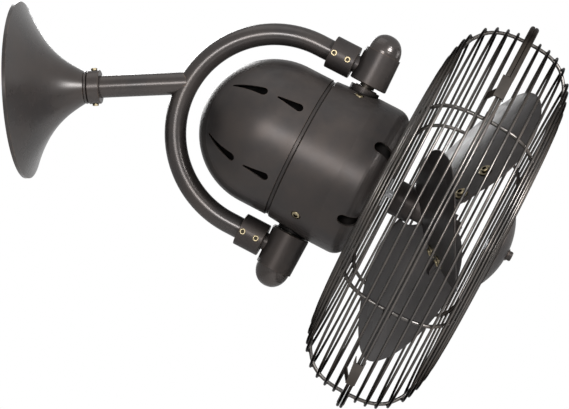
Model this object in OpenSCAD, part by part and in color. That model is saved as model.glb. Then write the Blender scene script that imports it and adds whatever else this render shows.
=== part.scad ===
// Wall fan: a bell canopy, a straight arm, a half ring yoke and a caged three blade head.
// Sizes are in millimetres. The origin is the centre of the wall face, +X leaves the wall and +Z is up.
// The head, the yoke and the guard are drawn in the head frame: s forward, y sideways, n up.

/* [Canopy] */
// Radius of the canopy at the wall
canopy_r = 90; // [60:0.5:120]
// Distance from the wall to the front of the bell
bell_end = 64.9; // [40:0.1:90]
// Straight rim of the bell against the wall
rim_height = 3.6; // [2:0.1:10]
// Wall thickness of the bell, measured away from the axis
bell_wall = 2; // [1:0.1:4]
// Radius of the bell at its neck
bell_neck_r = 16.3; // [13:0.1:25]
// Slope of the bell at its neck
bell_slope = 0.57; // [0:0.01:0.8]
// How fast the bell flares beyond that slope
bell_power = 3; // [1:0.05:4]
// Length of the bead on the neck
bead_length = 3.4; // [2:0.1:10]
// Radius of the bead on the neck
bead_r = 16.8; // [14:0.1:28]
// Thickness of the steel wall plate
plate_thickness = 3; // [1.5:0.1:6]
// Distance between the two mounting holes
mount_spacing = 88.9; // [60:0.1:110]
// Radius of each mounting hole
mount_hole_r = 2.6; // [2:0.1:4]
// Radius of the wire hole in the wall plate
wire_hole_r = 8; // [4:0.5:20]

/* [Arm socket] */
// Outer radius of the socket on the wall plate
socket_r = 15; // [13:0.1:24]
// Length of the socket from the wall plate
socket_length = 43; // [20:1:50]
// Radius of the socket flange
socket_flange_r = 28; // [18:0.5:40]
// Thickness of the socket flange
socket_flange = 4; // [2:0.1:8]
// Running clearance of the arm in the socket
socket_clearance = 0.05; // [0.01:0.01:0.1]
// Distance from the wall to the stop screws
stop_x = 22; // [12:0.5:40]
// Radius of each stop screw
stop_screw_r = 2; // [1.5:0.1:3]

/* [Arm] */
// Outer radius of the arm tube
arm_r = 11.3; // [8:0.1:16]
// Wall thickness of the arm tube
arm_wall = 2.2; // [1.5:0.1:4]
// Depth of the groove that the stop screws run in
groove_depth = 1; // [0.5:0.1:1.5]
// Width of that groove
groove_width = 4.8; // [4:0.1:10]
// Free gap round moving pieces
free_gap = 0.3; // [0.2:0.05:1]
// Gap between the bead and the canopy collar
collar_gap = 0.8; // [0.5:0.1:5]
// Length of the canopy collar
canopy_collar_length = 12.2; // [8:0.1:25]
// Height of the screw heads over the canopy collar
canopy_screw_rise = 2; // [0.2:0.1:4]
// Radius of the canopy collar
canopy_collar_r = 17.2; // [14:0.1:28]
// Edge chamfer of the collars
collar_chamfer = 0.6; // [0.3:0.1:3]

/* [Yoke] */
// Distance from the wall to the yoke centre
yoke_x = 255.9; // [200:0.1:400]
// Distance of the yoke centre below the arm axis
yoke_drop = 55.2; // [20:0.1:90]
// Tilt of the head below level, in degrees
head_tilt = 29.6; // [0:0.1:60]
// Height of the yoke centre line over the motor housing
yoke_rise = 24.4; // [22:0.1:60]
// Outer radius of the yoke tube
yoke_r = 11; // [8:0.1:16]
// Wall thickness of the yoke tube
yoke_wall = 2; // [1.5:0.1:4]
// Length of each straight leg of the yoke
leg_length = 37; // [25:0.1:60]
// Start of each clamp collar, forward of the yoke centre
clamp_start = 13.2; // [5:0.1:25]
// Length of each clamp collar
clamp_length = 26.6; // [15:0.1:30]
// Outer radius of each clamp collar
clamp_r = 16.9; // [14:0.1:24]
// Radius of each clamp screw
clamp_screw_r = 3.2; // [2:0.1:4]
// Distance of the first clamp screw from the rear of its collar
clamp_screw_start = 4.6; // [3.5:0.1:8]
// Distance between the two clamp screws of a collar
clamp_screw_pitch = 15; // [8:0.1:20]

/* [Pivots] */
// Pivot axis, forward of the yoke centre
pivot_s = 61.2; // [50:0.1:90]
// Outer end of the upper pivot housing, over the yoke centre line
pivot_reach_up = 21.3; // [18:0.1:40]
// Outer end of the lower pivot housing, over the yoke centre line
pivot_reach_low = 20.1; // [18:0.1:40]
// Radius of each pivot housing at its inner end
pivot_r_in = 19.7; // [15:0.1:26]
// Radius of each pivot housing at its outer end
pivot_r_out = 18.8; // [14:0.1:26]
// Radius of each domed cap
cap_r = 17.4; // [16.5:0.1:26]
// Height of each domed cap
cap_height = 19.6; // [8:0.1:30]
// Wall thickness of each domed cap
cap_wall = 2; // [1:0.1:4]
// Length of the spigot that fills the yoke leg
spigot_length = 20; // [10:0.1:23]
// Radius of the pivot pins in their bushes
pin_r = 6; // [4:0.1:8]
// Radius of the pin shoulder seen between housing and boss
shoulder_r = 8; // [6.5:0.1:12]
// Radius of the pin where the housing holds it
pin_grip_r = 7.4; // [6.2:0.1:11]
// Length of the pin shoulder between bush and housing
shoulder_length = 2.7; // [1:0.1:6]
// Floor of the nut pocket, over the yoke centre line
pocket_rise = 8.6; // [4:0.1:12]
// Radius of the nut pocket
pocket_r = 14.5; // [13:0.1:17]
// Radius across the corners of each pin nut
pin_nut_r = 11; // [8:0.1:14]
// Height of each pin nut
pin_nut_height = 6; // [3:0.1:9]
// Height of the upper boss over the seam of the motor housing
boss_rise_up = 6.7; // [4.2:0.1:9]
// Height of the lower boss over the seam of the motor housing
boss_rise_low = 4; // [4:0.1:9]
// Radius of each boss flange
boss_r = 15.5; // [12:0.1:20]
// Radius of the boss shank inside the housing
shank_r = 10; // [8.5:0.1:12]
// Gap between the sector and the boss shank
shank_gap = 1.7; // [0.5:0.1:4]
// Outer radius of each bush
bush_r = 8.6; // [7:0.1:9.5]
// Running clearance of each pin in its bush
bush_clearance = 0.05; // [0.01:0.01:0.1]
// Thickness of each bush flange
bush_flange = 1; // [0.5:0.1:2]
// Radius of each bush flange
bush_flange_r = 12; // [10:0.1:15]
// Radius across the corners of each boss locknut
locknut_r = 14; // [12:0.1:17]
// Thickness of each boss locknut
locknut_height = 6; // [3:0.1:8]

/* [Motor housing] */
// How far the rear dome lies inside the front housing
dome_step = 0.4; // [0:0.1:2]
// Wall thickness of the rear dome
dome_wall = 1.8; // [1:0.1:4]
// Front end of the rear dome
dome_end = 28.5; // [10:0.1:40]
// Width of the recessed seam
seam_width = 3.6; // [1:0.1:6]
// Depth of the recessed seam
seam_depth = 1.4; // [0.5:0.1:2]
// Bevel of the front housing at the seam
seam_bevel = 1.4; // [0.3:0.1:2]
// How far the seam ring reaches under each shell
seam_lip = 6.5; // [3:0.1:10]
// Radius of the front housing at the seam
housing_r = 76; // [60:0.1:85]
// How much wider the front housing is at its widest
housing_swell = 4; // [0:0.1:8]
// Station of the widest radius
housing_wide_s = 80; // [60:0.1:100]
// Station where the shoulder begins
shoulder_s = 104; // [90:0.1:115]
// Station of the front face
face_s = 118; // [105:0.1:130]
// Radius where the front face begins
face_r = 64; // [40:0.5:70]
// Wall thickness of the front housing
housing_wall = 2.5; // [1.5:0.1:5]
// Centre opening of the front face
face_hole_r = 16; // [12:0.5:30]
// Radius of the air ring inside the front face
air_ring_r = 59; // [54:0.5:62]
// Rear end of the air ring
air_ring_s = 88; // [84:0.5:100]
// Radius of the dust cup inside the rear dome
cup_r = 66; // [60:0.1:70]
// Radius of the air holes in the dust cup
cup_hole_r = 6; // [2:0.5:9]
// Rear end of the shoulder vents
vent_s = 98; // [85:0.1:108]
// Width of the shoulder vents
vent_width = 11.5; // [4:0.1:16]
// Tail of the rear slots on the dome
slot_tail = -54; // [-65:0.5:-40]
// Head of the rear slots on the dome
slot_head = -18.6; // [-35:0.1:-14]
// Tail of the front slots on the dome
slot_two_tail = -8; // [-14:0.1:0]
// Head of the front slots on the dome
slot_two_head = 20; // [8:0.1:24]
// Width of a slot at its blunt head
slot_width = 8.6; // [3:0.1:12]
// Width of a slot at its tail
slot_tail_width = 1.9; // [0.8:0.1:3]
// Station of the housing screws
housing_screw_s = 60; // [55:0.5:80]
// Radius of the recess round each housing screw
recess_r = 5.2; // [4.7:0.1:7]
// Radius of each housing screw head
housing_screw_r = 4.4; // [2.8:0.1:4.6]

/* [Motor] */
// Outer radius of the motor
motor_r = 51; // [46:0.1:55]
// Wall of the motor frame
motor_wall = 3; // [2:0.1:5]
// Rear end of the motor
motor_rear = 36; // [32:0.1:45]
// Front end of the motor
motor_front = 98.5; // [92:0.1:104]
// Rear end of the stator core
core_rear = 52; // [48:0.5:60]
// Front end of the stator core
core_front = 84; // [76:0.5:88]
// Bore radius of the stator core
core_bore_r = 22.5; // [18:0.1:30]
// Air gap between stator and rotor
air_gap = 0.5; // [0.3:0.05:1]
// Inner radius of the windings
winding_in_r = 26; // [24:0.1:32]
// Outer radius of the windings
winding_out_r = 42; // [36:0.1:46]
// Overhang of the windings at each end
winding_overhang = 8; // [4:0.5:9]
// Radius of the motor shaft
shaft_r = 4; // [3:0.1:5]
// Outer radius of the shaft bearings
bearing_r = 11; // [8:0.1:13]
// Length of each shaft bearing
bearing_length = 7; // [4:0.1:9]
// Outer radius of the threaded motor nose
nose_r = 15; // [13:0.1:15.5]
// Front end of the motor nose
nose_end = 128; // [124:0.5:131]
// Radius of the posts that carry the housing screws
post_r = 4.6; // [3:0.1:6]

/* [Oscillation drive] */
// Gear module of the oscillation drive
gear_module = 1; // [0.8:0.1:1.5]
// Teeth of a full circle of the fixed sector
sector_teeth = 48; // [36:4:60]
// Teeth of the pinion
pinion_teeth = 16; // [12:1:20]
// Tooth steps kept on the fixed sector
sector_count = 19; // [15:2:23]
// Width of the sector
sector_width = 5; // [3:0.1:7]
// Share of the pitch that each tooth fills
tooth_share = 0.4; // [0.3:0.01:0.46]
// Gap between the drive bracket and the sector
sector_gap = 0.8; // [0.5:0.1:3]
// Radius of the small drive motor
drive_r = 20; // [14:0.1:21]
// Height of the small drive motor
drive_height = 15; // [8:0.1:20]
// Thickness of the drive bracket
bracket_thickness = 1.5; // [1:0.1:1.8]
// Width of the drive bracket
bracket_width = 32; // [20:0.5:40]

/* [Blades] */
// Angle of the blade on the near side, in degrees
blade_angle = 0.6; // [-60:0.1:60]
// Pitch of the blades near the hub, in degrees
pitch_root = 36.3; // [20:0.1:50]
// Pitch of the blades near the tip, in degrees
pitch_tip = 30.7; // [10:0.1:45]
// Station of the blade mid line at a radius of 100
blade_s = 187.3; // [180:0.1:200]
// Forward slope of the blade mid line
blade_rake = 0.248; // [0:0.001:0.4]
// Hollow of the blade across its width
blade_camber = 0.0024; // [0:0.0001:0.004]
// Middle of the blade outline, from the axis
blade_mid = 87.7; // [70:0.1:95]
// Half length of the blade outline
blade_half = 92; // [70:0.1:95]
// Half width of the blade outline
blade_half_width = 68.5; // [40:0.1:80]
// Growth of the width towards the tip
blade_egg = -0.032; // [-0.3:0.001:0.3]
// Roundness of the blade outline at its tip
blade_round = 0.94; // [0.6:0.01:1.2]
// Roundness of the blade outline at its root
blade_root_round = 1.17; // [0.8:0.01:1.6]
// Shift of the tip along the rear edge
blade_skew = 9.5; // [0:0.1:20]
// Radius of the notch of the blades round the hub
blade_root = 19; // [18:0.1:30]
// Thickness of the blade sheet
blade_thickness = 1.4; // [1:0.1:3]
// Radius of the hub
hub_r = 18; // [14:0.1:24]
// Rear end of the hub
hub_rear = 135.3; // [132:0.1:145]
// Front end of the wide part of the hub
hub_front = 160.5; // [150:0.1:165]
// Radius of the hub boss that carries the blade arms
hub_boss_r = 13; // [10:0.1:16]
// Front end of the hub boss
boss_end = 202; // [195:0.5:215]
// Angle from each blade mid line to its inner screw, in degrees
arm_angle = 57; // [0:0.5:70]
// Turn of the blade arm towards the mid line, in degrees for each millimetre
arm_sweep = 0.847; // [0:0.001:1.2]
// Half width of a blade arm at the hub
arm_wide = 9.5; // [5:0.1:15]
// Outer end of each blade arm, from the axis
blade_arm_end = 84; // [60:0.5:110]
// Thickness of each blade arm
blade_arm_thickness = 2.4; // [1.5:0.1:4]
// Distance of the inner blade screw from the axis
screw_rho_in = 38.3; // [30:0.5:45]
// Distance of the outer blade screw from the axis
screw_rho_out = 65.7; // [55:0.5:78]
// Radius of each blade washer
washer_r = 7; // [5:0.1:9]
// Height of each blade washer over the curved sheet
washer_seat = 0.25; // [0.1:0.05:0.6]
// Top of each blade washer over the sheet
washer_thickness = 1.4; // [0.8:0.1:2.5]
// Radius of each blade screw head
blade_head_r = 3.9; // [3:0.1:5]
// Radius of each blade screw shank
blade_shank_r = 2; // [1.5:0.1:3]

/* [Guard] */
// Rim plane of the guard
rim_s = 184; // [175:0.1:200]
// Radius that the side of the guard bulges to
guard_r = 201.9; // [180:0.1:220]
// Half depth of the guard
guard_half = 66.5; // [50:0.1:75]
// Squareness of the guard across its face
guard_face_power = 7.4; // [2:0.1:12]
// Squareness of the guard along its side
guard_side_power = 2.64; // [1.5:0.01:5]
// Radius of the ring wires
ring_wire_r = 1.35; // [1:0.05:2]
// Radius of the rib wires
rib_wire_r = 1.9; // [1.4:0.05:3]
// How deep the rings sink into the ribs where they are welded
weld_depth = 0.12; // [0.05:0.01:0.2]
// Distance of the first side ring from the rim plane
side_ring_start = 12.1; // [8:0.1:16]
// Distance of the last side ring from the face of the guard
side_ring_stop = 11.6; // [8:0.1:20]
// Distance of the outermost face ring from the side of the guard
face_ring_inset = 40.9; // [30:0.1:60]
// Distance of the innermost face ring from the front cap
face_ring_stop = 13; // [6:0.5:20]
// Angle of the first rib, in degrees
rib_angle = 33.9; // [0:0.1:60]
// Radius of the two rim wires
rim_wire_r = 1.6; // [1.2:0.05:2.5]
// Free gap between the two rim wires
rim_gap = 0.5; // [0.1:0.1:3]
// How far the rim wires stand out of the side of the guard
rim_overhang = 9.1; // [4:0.1:15]
// Radius of the rear guard plate
guard_plate_r = 62; // [40:0.5:68]
// Thickness of the guard plates
guard_plate = 1.5; // [1:0.1:3]
// Radius of the nut that holds the guard
guard_nut_r = 24; // [18:0.5:40]
// Length of that nut
guard_nut_length = 5.5; // [4:0.1:8]
// Radius of the front cap
front_cap_r = 38; // [25:0.5:60]
// Front of the rim of the front cap
front_cap_rim = 253.5; // [250:0.1:258]
// Front of the front cap
front_cap_end = 263; // [256:0.1:270]
// Radius of the cap nut
cap_nut_r = 5; // [3:0.1:8]
// Front end of the cap nut
cap_nut_end = 268.3; // [264:0.1:275]

/* [Rim fittings] */
// Gap between the fittings and the wires that they rest on
rest_gap = 0.05; // [0:0.01:0.3]
// Thickness of the saddle and the clasps
clasp_sheet = 1.1; // [0.6:0.1:2]
// Half angle of the saddle over the rim at the top, in degrees
saddle_half = 24; // [8:0.5:50]
// Depth of the sides of the saddle
saddle_depth = 7; // [4:0.1:9]
// Gap between the rim wires and each side of the saddle
saddle_gap = 0.6; // [0.1:0.1:2]
// Lower end of the upper clasp, in degrees above the near side
upper_clasp_low = 38.7; // [20:0.1:60]
// Upper end of the upper clasp, in degrees above the near side
upper_clasp_high = 46.5; // [25:0.1:64]
// Lower end of the lower clasp, in degrees above the near side
lower_clasp_low = -53.4; // [-70:0.1:-30]
// Upper end of the lower clasp, in degrees above the near side
lower_clasp_high = -43.4; // [-60:0.1:-20]
// Reach of a clasp in front of the rim plane
clasp_front = 4.4; // [3.8:0.1:8]
// Reach of a clasp behind the rim plane
clasp_rear = 6.5; // [4:0.1:9]
// Length of the foot of a clasp along the rim, in degrees
clasp_foot = 2.7; // [1:0.1:5]

/* [Hidden] */
$fn = 96;
bronze = [0.23, 0.21, 0.2];
brass = [0.72, 0.6, 0.34];
steel = [0.62, 0.63, 0.65];
copper = [0.62, 0.34, 0.2];
bell_steps = 36;
blade_step = 120;
yoke_ring_r = housing_r + yoke_rise;
pocket_in = yoke_ring_r + pocket_rise;
dome_r = housing_r - dome_step;
housing_wide_r = housing_r + housing_swell;
sector_n = motor_r + bracket_thickness + sector_gap;
shank_in = sector_n + sector_width + shank_gap;
bore_r = arm_r + socket_clearance;
neck_hole_r = arm_r + free_gap;
bead_front = bell_end + bead_length;
canopy_plate_r = canopy_r - bell_wall;
socket_front = plate_thickness + socket_length;
canopy_collar_rear = bead_front + collar_gap;
stop_tip_r = arm_r - groove_depth + free_gap;
clamp_end = clamp_start + clamp_length;
spigot_r = yoke_r - yoke_wall;
pin_out = pocket_in + pin_nut_height + 1;
bush_in = shank_in;
housing_end = dome_end + seam_width;
sector_r = gear_module * sector_teeth / 2;
pinion_r = gear_module * pinion_teeth / 2;
drive_s = pivot_s - sector_r - pinion_r;
drive_axis_offset = drive_r - 3.5;
sides = [1, -1];
slot_angles = [30, 90, 150, 210, 270, 330];
screw_angles = [72, 312, 192];
frame_in_r = motor_r - motor_wall;
frame_rear = motor_rear + 14;
frame_front = motor_front - 12.5;
shaft_rear = motor_rear - 2;
shaft_end = boss_end + 9;
rear_plate_front = face_s + guard_plate;
ring_to_rib = ring_wire_r + rib_wire_r - weld_depth;
side_rings = 5;
front_face_rings = 11;
rear_face_rings = front_face_rings - 3;
rib_sides = 10;
side_ring_pitch = (guard_half - side_ring_start - side_ring_stop) / (side_rings - 1);
face_ring_start = guard_r - face_ring_inset;
face_ring_pitch = (face_ring_start - front_cap_r - face_ring_stop) / (front_face_rings - 1);
rim_r = guard_r + rim_overhang;
rim_half = rim_gap / 2 + 2 * rim_wire_r;
clasp_in = rim_r + rim_wire_r + rest_gap;
clasp_out = clasp_in + clasp_sheet;
foot_d = rib_wire_r + free_gap;

// Ends of the pieces of the upper pivot, k = 1, and the lower pivot, k = -1, from the head axis
function boss_out(k) = housing_r + (k > 0 ? boss_rise_up : boss_rise_low);
function pin_in(k) = boss_out(k) + bush_flange + free_gap;
function seat_in(k) = pin_in(k) + shoulder_length;
function pivot_in(k) = k > 0 ? seat_in(k) : boss_out(k) + 2 * free_gap;
function pivot_out(k) = yoke_ring_r + (k > 0 ? pivot_reach_up : pivot_reach_low);

// Points of an arc, from angle a to angle b in n steps
function arc(c, r, a, b, n) =
    [for (i = [0:n]) c + r * [cos(a + (b - a) * i / n), sin(a + (b - a) * i / n)]];

// Outline of a slot that is blunt at one end and narrow at the other
function teardrop(tail, head, head_w, tail_w) = concat(
    arc([head - head_w / 2, 0], head_w / 2, -90, 90, 12),
    arc([tail + tail_w / 2, 0], tail_w / 2, 90, 270, 6));

// Everything drawn in the head frame passes through here
module head() {
    translate([yoke_x, 0, -yoke_drop])
        rotate([0, head_tilt, 0])
            children();
}

// Turn about the head axis: the near side is 0 degrees and the top is 90
module at_angle(t) {
    rotate([90 - t, 0, 0])
        children();
}

// A profile of radius and station, turned about the X axis
module turned() {
    rotate([0, 90, 0])
        rotate_extrude()
            children();
}

// A plain ring about the X axis
module ring(r_in, r_out, x0, x1) {
    turned()
        polygon([[r_in, x0], [r_out, x0], [r_out, x1], [r_in, x1]]);
}

// A ring about the X axis with both outer edges chamfered
module soft_ring(r_in, r_out, x0, x1, c) {
    turned()
        polygon([[r_in, x0], [r_out - c, x0], [r_out, x0 + c], [r_out, x1 - c], [r_out - c, x1], [r_in, x1]]);
}

// A plain disc or bar about the X axis
module bar(r, x0, x1) {
    translate([x0, 0, 0])
        rotate([0, 90, 0])
            cylinder(r = r, h = x1 - x0);
}

// A plain bar along Z
module post(r, z0, z1) {
    translate([0, 0, z0])
        cylinder(r = r, h = z1 - z0);
}

// A socket screw along Z: flat top with a chamfered rim and a hexagon socket
module socket_screw(r, z0, z1, socket) {
    difference() {
        union() {
            post(r, z0, z1 - r * 0.15);
            translate([0, 0, z1 - r * 0.15])
                cylinder(r1 = r, r2 = r * 0.85, h = r * 0.15);
        }
        translate([0, 0, z1 - socket])
            cylinder(r = r * 0.66, h = socket + 1, $fn = 6);
    }
}

// A screw along Z with a domed head and a hexagon socket
module domed_screw(r, z0, z1, dome, socket) {
    difference() {
        rotate_extrude()
            polygon(concat([[0, z0], [r, z0]],
                [for (i = [0:8]) [r * cos(i * 10), z1 - dome + dome * sin(i * 10)]],
                [[0, z1]]));
        translate([0, 0, z1 - socket])
            cylinder(r = r * 0.6, h = socket + 1, $fn = 6);
    }
}

// Wall side

module wall_plate() {
    color(steel)
        difference() {
            bar(canopy_plate_r, 0, plate_thickness);
            bar(wire_hole_r, -1, plate_thickness + 1);
            for (k = sides)
                translate([0, 0, k * mount_spacing / 2])
                    bar(mount_hole_r, -1, plate_thickness + 1);
        }
}

module arm_socket() {
    color(steel)
        difference() {
            union() {
                bar(socket_flange_r, plate_thickness, plate_thickness + socket_flange);
                bar(socket_r, plate_thickness, socket_front);
            }
            bar(bore_r, plate_thickness - 1, socket_front + 1);
            for (k = sides)
                translate([stop_x, 0, 0])
                    scale([1, 1, k])
                        post(stop_screw_r, arm_r - 2, socket_r + 1);
        }
}

module stop_screws() {
    color(steel)
        for (a = [0, 180])
            translate([stop_x, 0, 0])
                rotate([a, 0, 0])
                    difference() {
                        union() {
                            post(stop_screw_r, stop_tip_r, socket_r + 1);
                            post(stop_screw_r * 1.8, socket_r, socket_r + 3);
                        }
                        translate([0, 0, socket_r + 1.2])
                            cylinder(r = stop_screw_r, h = 4, $fn = 6);
                    }
}

function bell_point(i) = let (
        f = 1 - i / bell_steps,
        cone = bell_slope * (bell_end - rim_height)) [
    bell_neck_r + cone * f + (canopy_r - bell_neck_r - cone) * pow(f, bell_power),
    rim_height + (bell_end - rim_height) * i / bell_steps];

module canopy_bell() {
    color(bronze)
        turned()
            polygon(concat(
                [[canopy_r - bell_wall, 0], [canopy_r, 0]],
                [for (i = [0:bell_steps]) bell_point(i)],
                [[neck_hole_r, bell_end], [neck_hole_r, bell_point(bell_steps - 2)[1]]],
                [for (i = [bell_steps - 2:-1:0]) bell_point(i) - [bell_wall, 0]]));
}

module canopy_bead() {
    color(bronze)
        turned()
            polygon(concat(
                [[neck_hole_r, bell_end]],
                arc([bead_r - bead_length / 2, (bell_end + bead_front) / 2], bead_length / 2, -90, 90, 12),
                [[neck_hole_r, bead_front]]));
}

// Arm and yoke

module arm_tube() {
    color(bronze)
        difference() {
            bar(arm_r, plate_thickness + free_gap, yoke_x - yoke_ring_r + yoke_r + 4);
            bar(arm_r - arm_wall, 0, yoke_x);
            ring(arm_r - groove_depth, arm_r + 1, stop_x - groove_width / 2, stop_x + groove_width / 2);
            head()
                yoke_shape(yoke_r);
        }
}

module canopy_collar() {
    color(bronze)
        difference() {
            soft_ring(arm_r, canopy_collar_r, canopy_collar_rear, canopy_collar_rear + canopy_collar_length,
                collar_chamfer);
            for (a = [0, 180])
                translate([canopy_collar_rear + canopy_collar_length / 2, 0, 0])
                    rotate([a, 0, 0])
                        post(clamp_screw_r, 0, canopy_collar_r + 1);
        }
}

// The half ring of the yoke without its legs, as a full bar of radius r
module yoke_shape(r) {
    rotate([90, 0, 0])
        rotate([0, 0, 90])
            rotate_extrude(angle = 180)
                translate([yoke_ring_r, 0])
                    circle(r = r);
}

module yoke_tube() {
    color(bronze)
        head() {
            difference() {
                yoke_shape(yoke_r);
                yoke_shape(yoke_r - yoke_wall);
            }
            for (k = sides)
                translate([0, 0, k * yoke_ring_r])
                    ring(yoke_r - yoke_wall, yoke_r, 0, leg_length);
        }
}

module clamp_collar(k) {
    color(bronze)
        head()
            translate([0, 0, k * yoke_ring_r])
                difference() {
                    soft_ring(yoke_r, clamp_r, clamp_start, clamp_end, collar_chamfer);
                    for (i = [0, 1])
                        translate([clamp_start + clamp_screw_start + i * clamp_screw_pitch, 0, 0])
                            rotate([90, 0, 0])
                                post(clamp_screw_r, yoke_r - 1, clamp_r + 1);
                }
}

module clamp_collars() {
    clamp_collar(1);
    clamp_collar(-1);
}

module clamp_screws() {
    color(brass)
        head()
            for (k = sides, i = [0, 1])
                translate([clamp_start + clamp_screw_start + i * clamp_screw_pitch, 0, k * yoke_ring_r])
                    rotate([90, 0, 0])
                        socket_screw(clamp_screw_r, yoke_r, clamp_r + 0.1, 3);
    color(brass)
        for (a = [0, 180])
            translate([canopy_collar_rear + canopy_collar_length / 2, 0, 0])
                rotate([a, 0, 0])
                    socket_screw(clamp_screw_r, arm_r, canopy_collar_r + canopy_screw_rise, 3);
}

// Place a piece on the pivot axis: its Z runs outward, up for k = 1 and down for k = -1
module on_pivot(k) {
    head()
        translate([pivot_s, 0, 0])
            rotate([k > 0 ? 0 : 180, 0, 0])
                children();
}

module pivot_housing(k) {
    color(bronze)
        on_pivot(k)
            difference() {
                union() {
                    translate([0, 0, pivot_in(k)])
                        cylinder(r1 = pivot_r_in - 1, r2 = pivot_r_in, h = 1);
                    translate([0, 0, pivot_in(k) + 1])
                        cylinder(r1 = pivot_r_in, r2 = pivot_r_out, h = pivot_out(k) - pivot_in(k) - 1);
                    translate([-pivot_s, 0, yoke_ring_r])
                        bar(spigot_r, leg_length - spigot_length, pivot_s - pin_grip_r - 2);
                }
                post(pin_grip_r, pivot_in(k) - 1, pocket_in + 1);
                post(pocket_r, pocket_in, pivot_out(k) + 1);
                if (seat_in(k) > pivot_in(k) + 0.1)
                    post(bush_flange_r + 2 * free_gap, pivot_in(k) - 1, seat_in(k));
            }
}

module upper_pivot_housing() {
    pivot_housing(1);
}

module lower_pivot_housing() {
    pivot_housing(-1);
}

// Outline of a domed cap, w inside its skin
function cap_curve(k, w) = [for (i = [0:12]) let (t = 90 * i / 12)
    [(cap_r - w) * pow(cos(t), 0.9), pivot_out(k) + (cap_height - w) * sin(t)]];

module dome_cap(k) {
    color(bronze)
        on_pivot(k)
            rotate_extrude()
                polygon(concat([for (i = [0:11]) cap_curve(k, 0)[i]], [[0, pivot_out(k) + cap_height],
                    [0, pivot_out(k) + cap_height - cap_wall]],
                    [for (i = [11:-1:0]) cap_curve(k, cap_wall)[i]]));
}

module dome_caps() {
    dome_cap(1);
    dome_cap(-1);
}

// A pivot pin: running part, shoulder, gripped part and threaded end
module pivot_pin(k, z0) {
    color(steel)
        on_pivot(k)
            rotate_extrude()
                polygon([[0, z0], [pin_r - 0.5, z0], [pin_r, z0 + 0.5], [pin_r, pin_in(k)], [shoulder_r, pin_in(k)],
                    [shoulder_r, seat_in(k)], [pin_grip_r, seat_in(k)], [pin_grip_r, pocket_in], [pin_r, pocket_in],
                    [pin_r, pin_out - 0.5], [pin_r - 0.5, pin_out], [0, pin_out]]);
}

module upper_pivot_pin() {
    pivot_pin(1, shank_in);
}

module lower_pivot_pin() {
    pivot_pin(-1, sector_n);
}

module pin_nuts() {
    color(steel)
        for (k = sides)
            on_pivot(k)
                difference() {
                    translate([0, 0, pocket_in])
                        cylinder(r = pin_nut_r, h = pin_nut_height, $fn = 6);
                    post(pin_r, pocket_in - 1, pocket_in + pin_nut_height + 1);
                }
}

// Gears with straight flanks and a little backlash

function tooth(r, teeth, i, w) = let (
        m = gear_module,
        half = 360 / teeth * w / 2,
        mid = 360 / teeth * i,
        low = r - 1.15 * m,
        high = r + 0.85 * m) [
        low * [cos(mid - half * 1.55), sin(mid - half * 1.55)],
        r * [cos(mid - half), sin(mid - half)],
        high * [cos(mid - half * 0.45), sin(mid - half * 0.45)],
        high * [cos(mid + half * 0.45), sin(mid + half * 0.45)],
        r * [cos(mid + half), sin(mid + half)],
        low * [cos(mid + half * 1.55), sin(mid + half * 1.55)]];

module sector_gear() {
    reach = (sector_count - 1) / 2;
    color(steel)
        on_pivot(-1)
            difference() {
                translate([0, 0, sector_n])
                    union() {
                        linear_extrude(height = sector_width)
                            polygon(concat(
                                [[0, 0]],
                                [for (i = [-reach:reach]) for (p = tooth(sector_r, sector_teeth,
                                    i + sector_teeth / 2, tooth_share)) p]));
                        cylinder(r = pin_r + 4, h = sector_width);
                    }
                post(pin_r, sector_n - 1, sector_n + sector_width + 1);
            }
}

// The pinion has a gap facing the sector's middle tooth
module drive_pinion() {
    color(brass)
        head()
            translate([drive_s, 0, -sector_n - sector_width])
                union() {
                    linear_extrude(height = sector_width)
                        polygon([for (i = [0:pinion_teeth - 1])
                            for (p = tooth(pinion_r, pinion_teeth, i + 0.5, tooth_share)) p]);
                    cylinder(r = 2.5, h = sector_width + bracket_thickness + 7);
                }
}

// Motor head shells

module rear_cover() {
    color(bronze)
        head()
            difference() {
                union() {
                    difference() {
                        sphere(r = dome_r);
                        sphere(r = dome_r - dome_wall);
                        translate([0, -dome_r - 1, -dome_r - 1])
                            cube([dome_r + 2, 2 * dome_r + 2, 2 * dome_r + 2]);
                    }
                    ring(dome_r - dome_wall, dome_r, 0, dome_end);
                }
                for (t = slot_angles)
                    at_angle(t)
                        translate([0, 0, dome_r / 3])
                            linear_extrude(height = dome_r) {
                                polygon(teardrop(slot_tail, slot_head, slot_width, slot_tail_width));
                                polygon(teardrop(slot_two_tail, slot_two_head, slot_width, slot_tail_width));
                            }
            }
}

module seam_ring() {
    r_lip = dome_r - dome_wall;
    r_front = housing_r - housing_wall;
    r_in = min(r_lip, r_front) - 2.5;
    color(bronze)
        head()
            turned()
                polygon([[r_in, dome_end - seam_lip], [r_lip, dome_end - seam_lip], [r_lip, dome_end],
                    [dome_r - seam_depth, dome_end], [dome_r - seam_depth, housing_end], [r_front, housing_end],
                    [r_front, housing_end + seam_lip], [r_in, housing_end + seam_lip]]);
}

// Outer profile of the front housing, set in by w; the outside is bevelled at the seam
function housing_profile(w) = concat(
    w > 0 ? [[housing_r - w, housing_end]] : [[housing_r - seam_bevel, housing_end],
        [housing_r + housing_swell * seam_bevel / (housing_wide_s - housing_end), housing_end + seam_bevel]],
    [[housing_wide_r - w, housing_wide_s], [housing_wide_r - w, shoulder_s - 6]],
    arc([housing_wide_r - 16, face_s - 16], 16 - w, 0, 90, 10));

// Everything inside the skin that lies w under the outside of the front housing
module housing_core(w) {
    turned()
        polygon(concat([[0, housing_end]], housing_profile(w), [[0, face_s - w]]));
}

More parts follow.
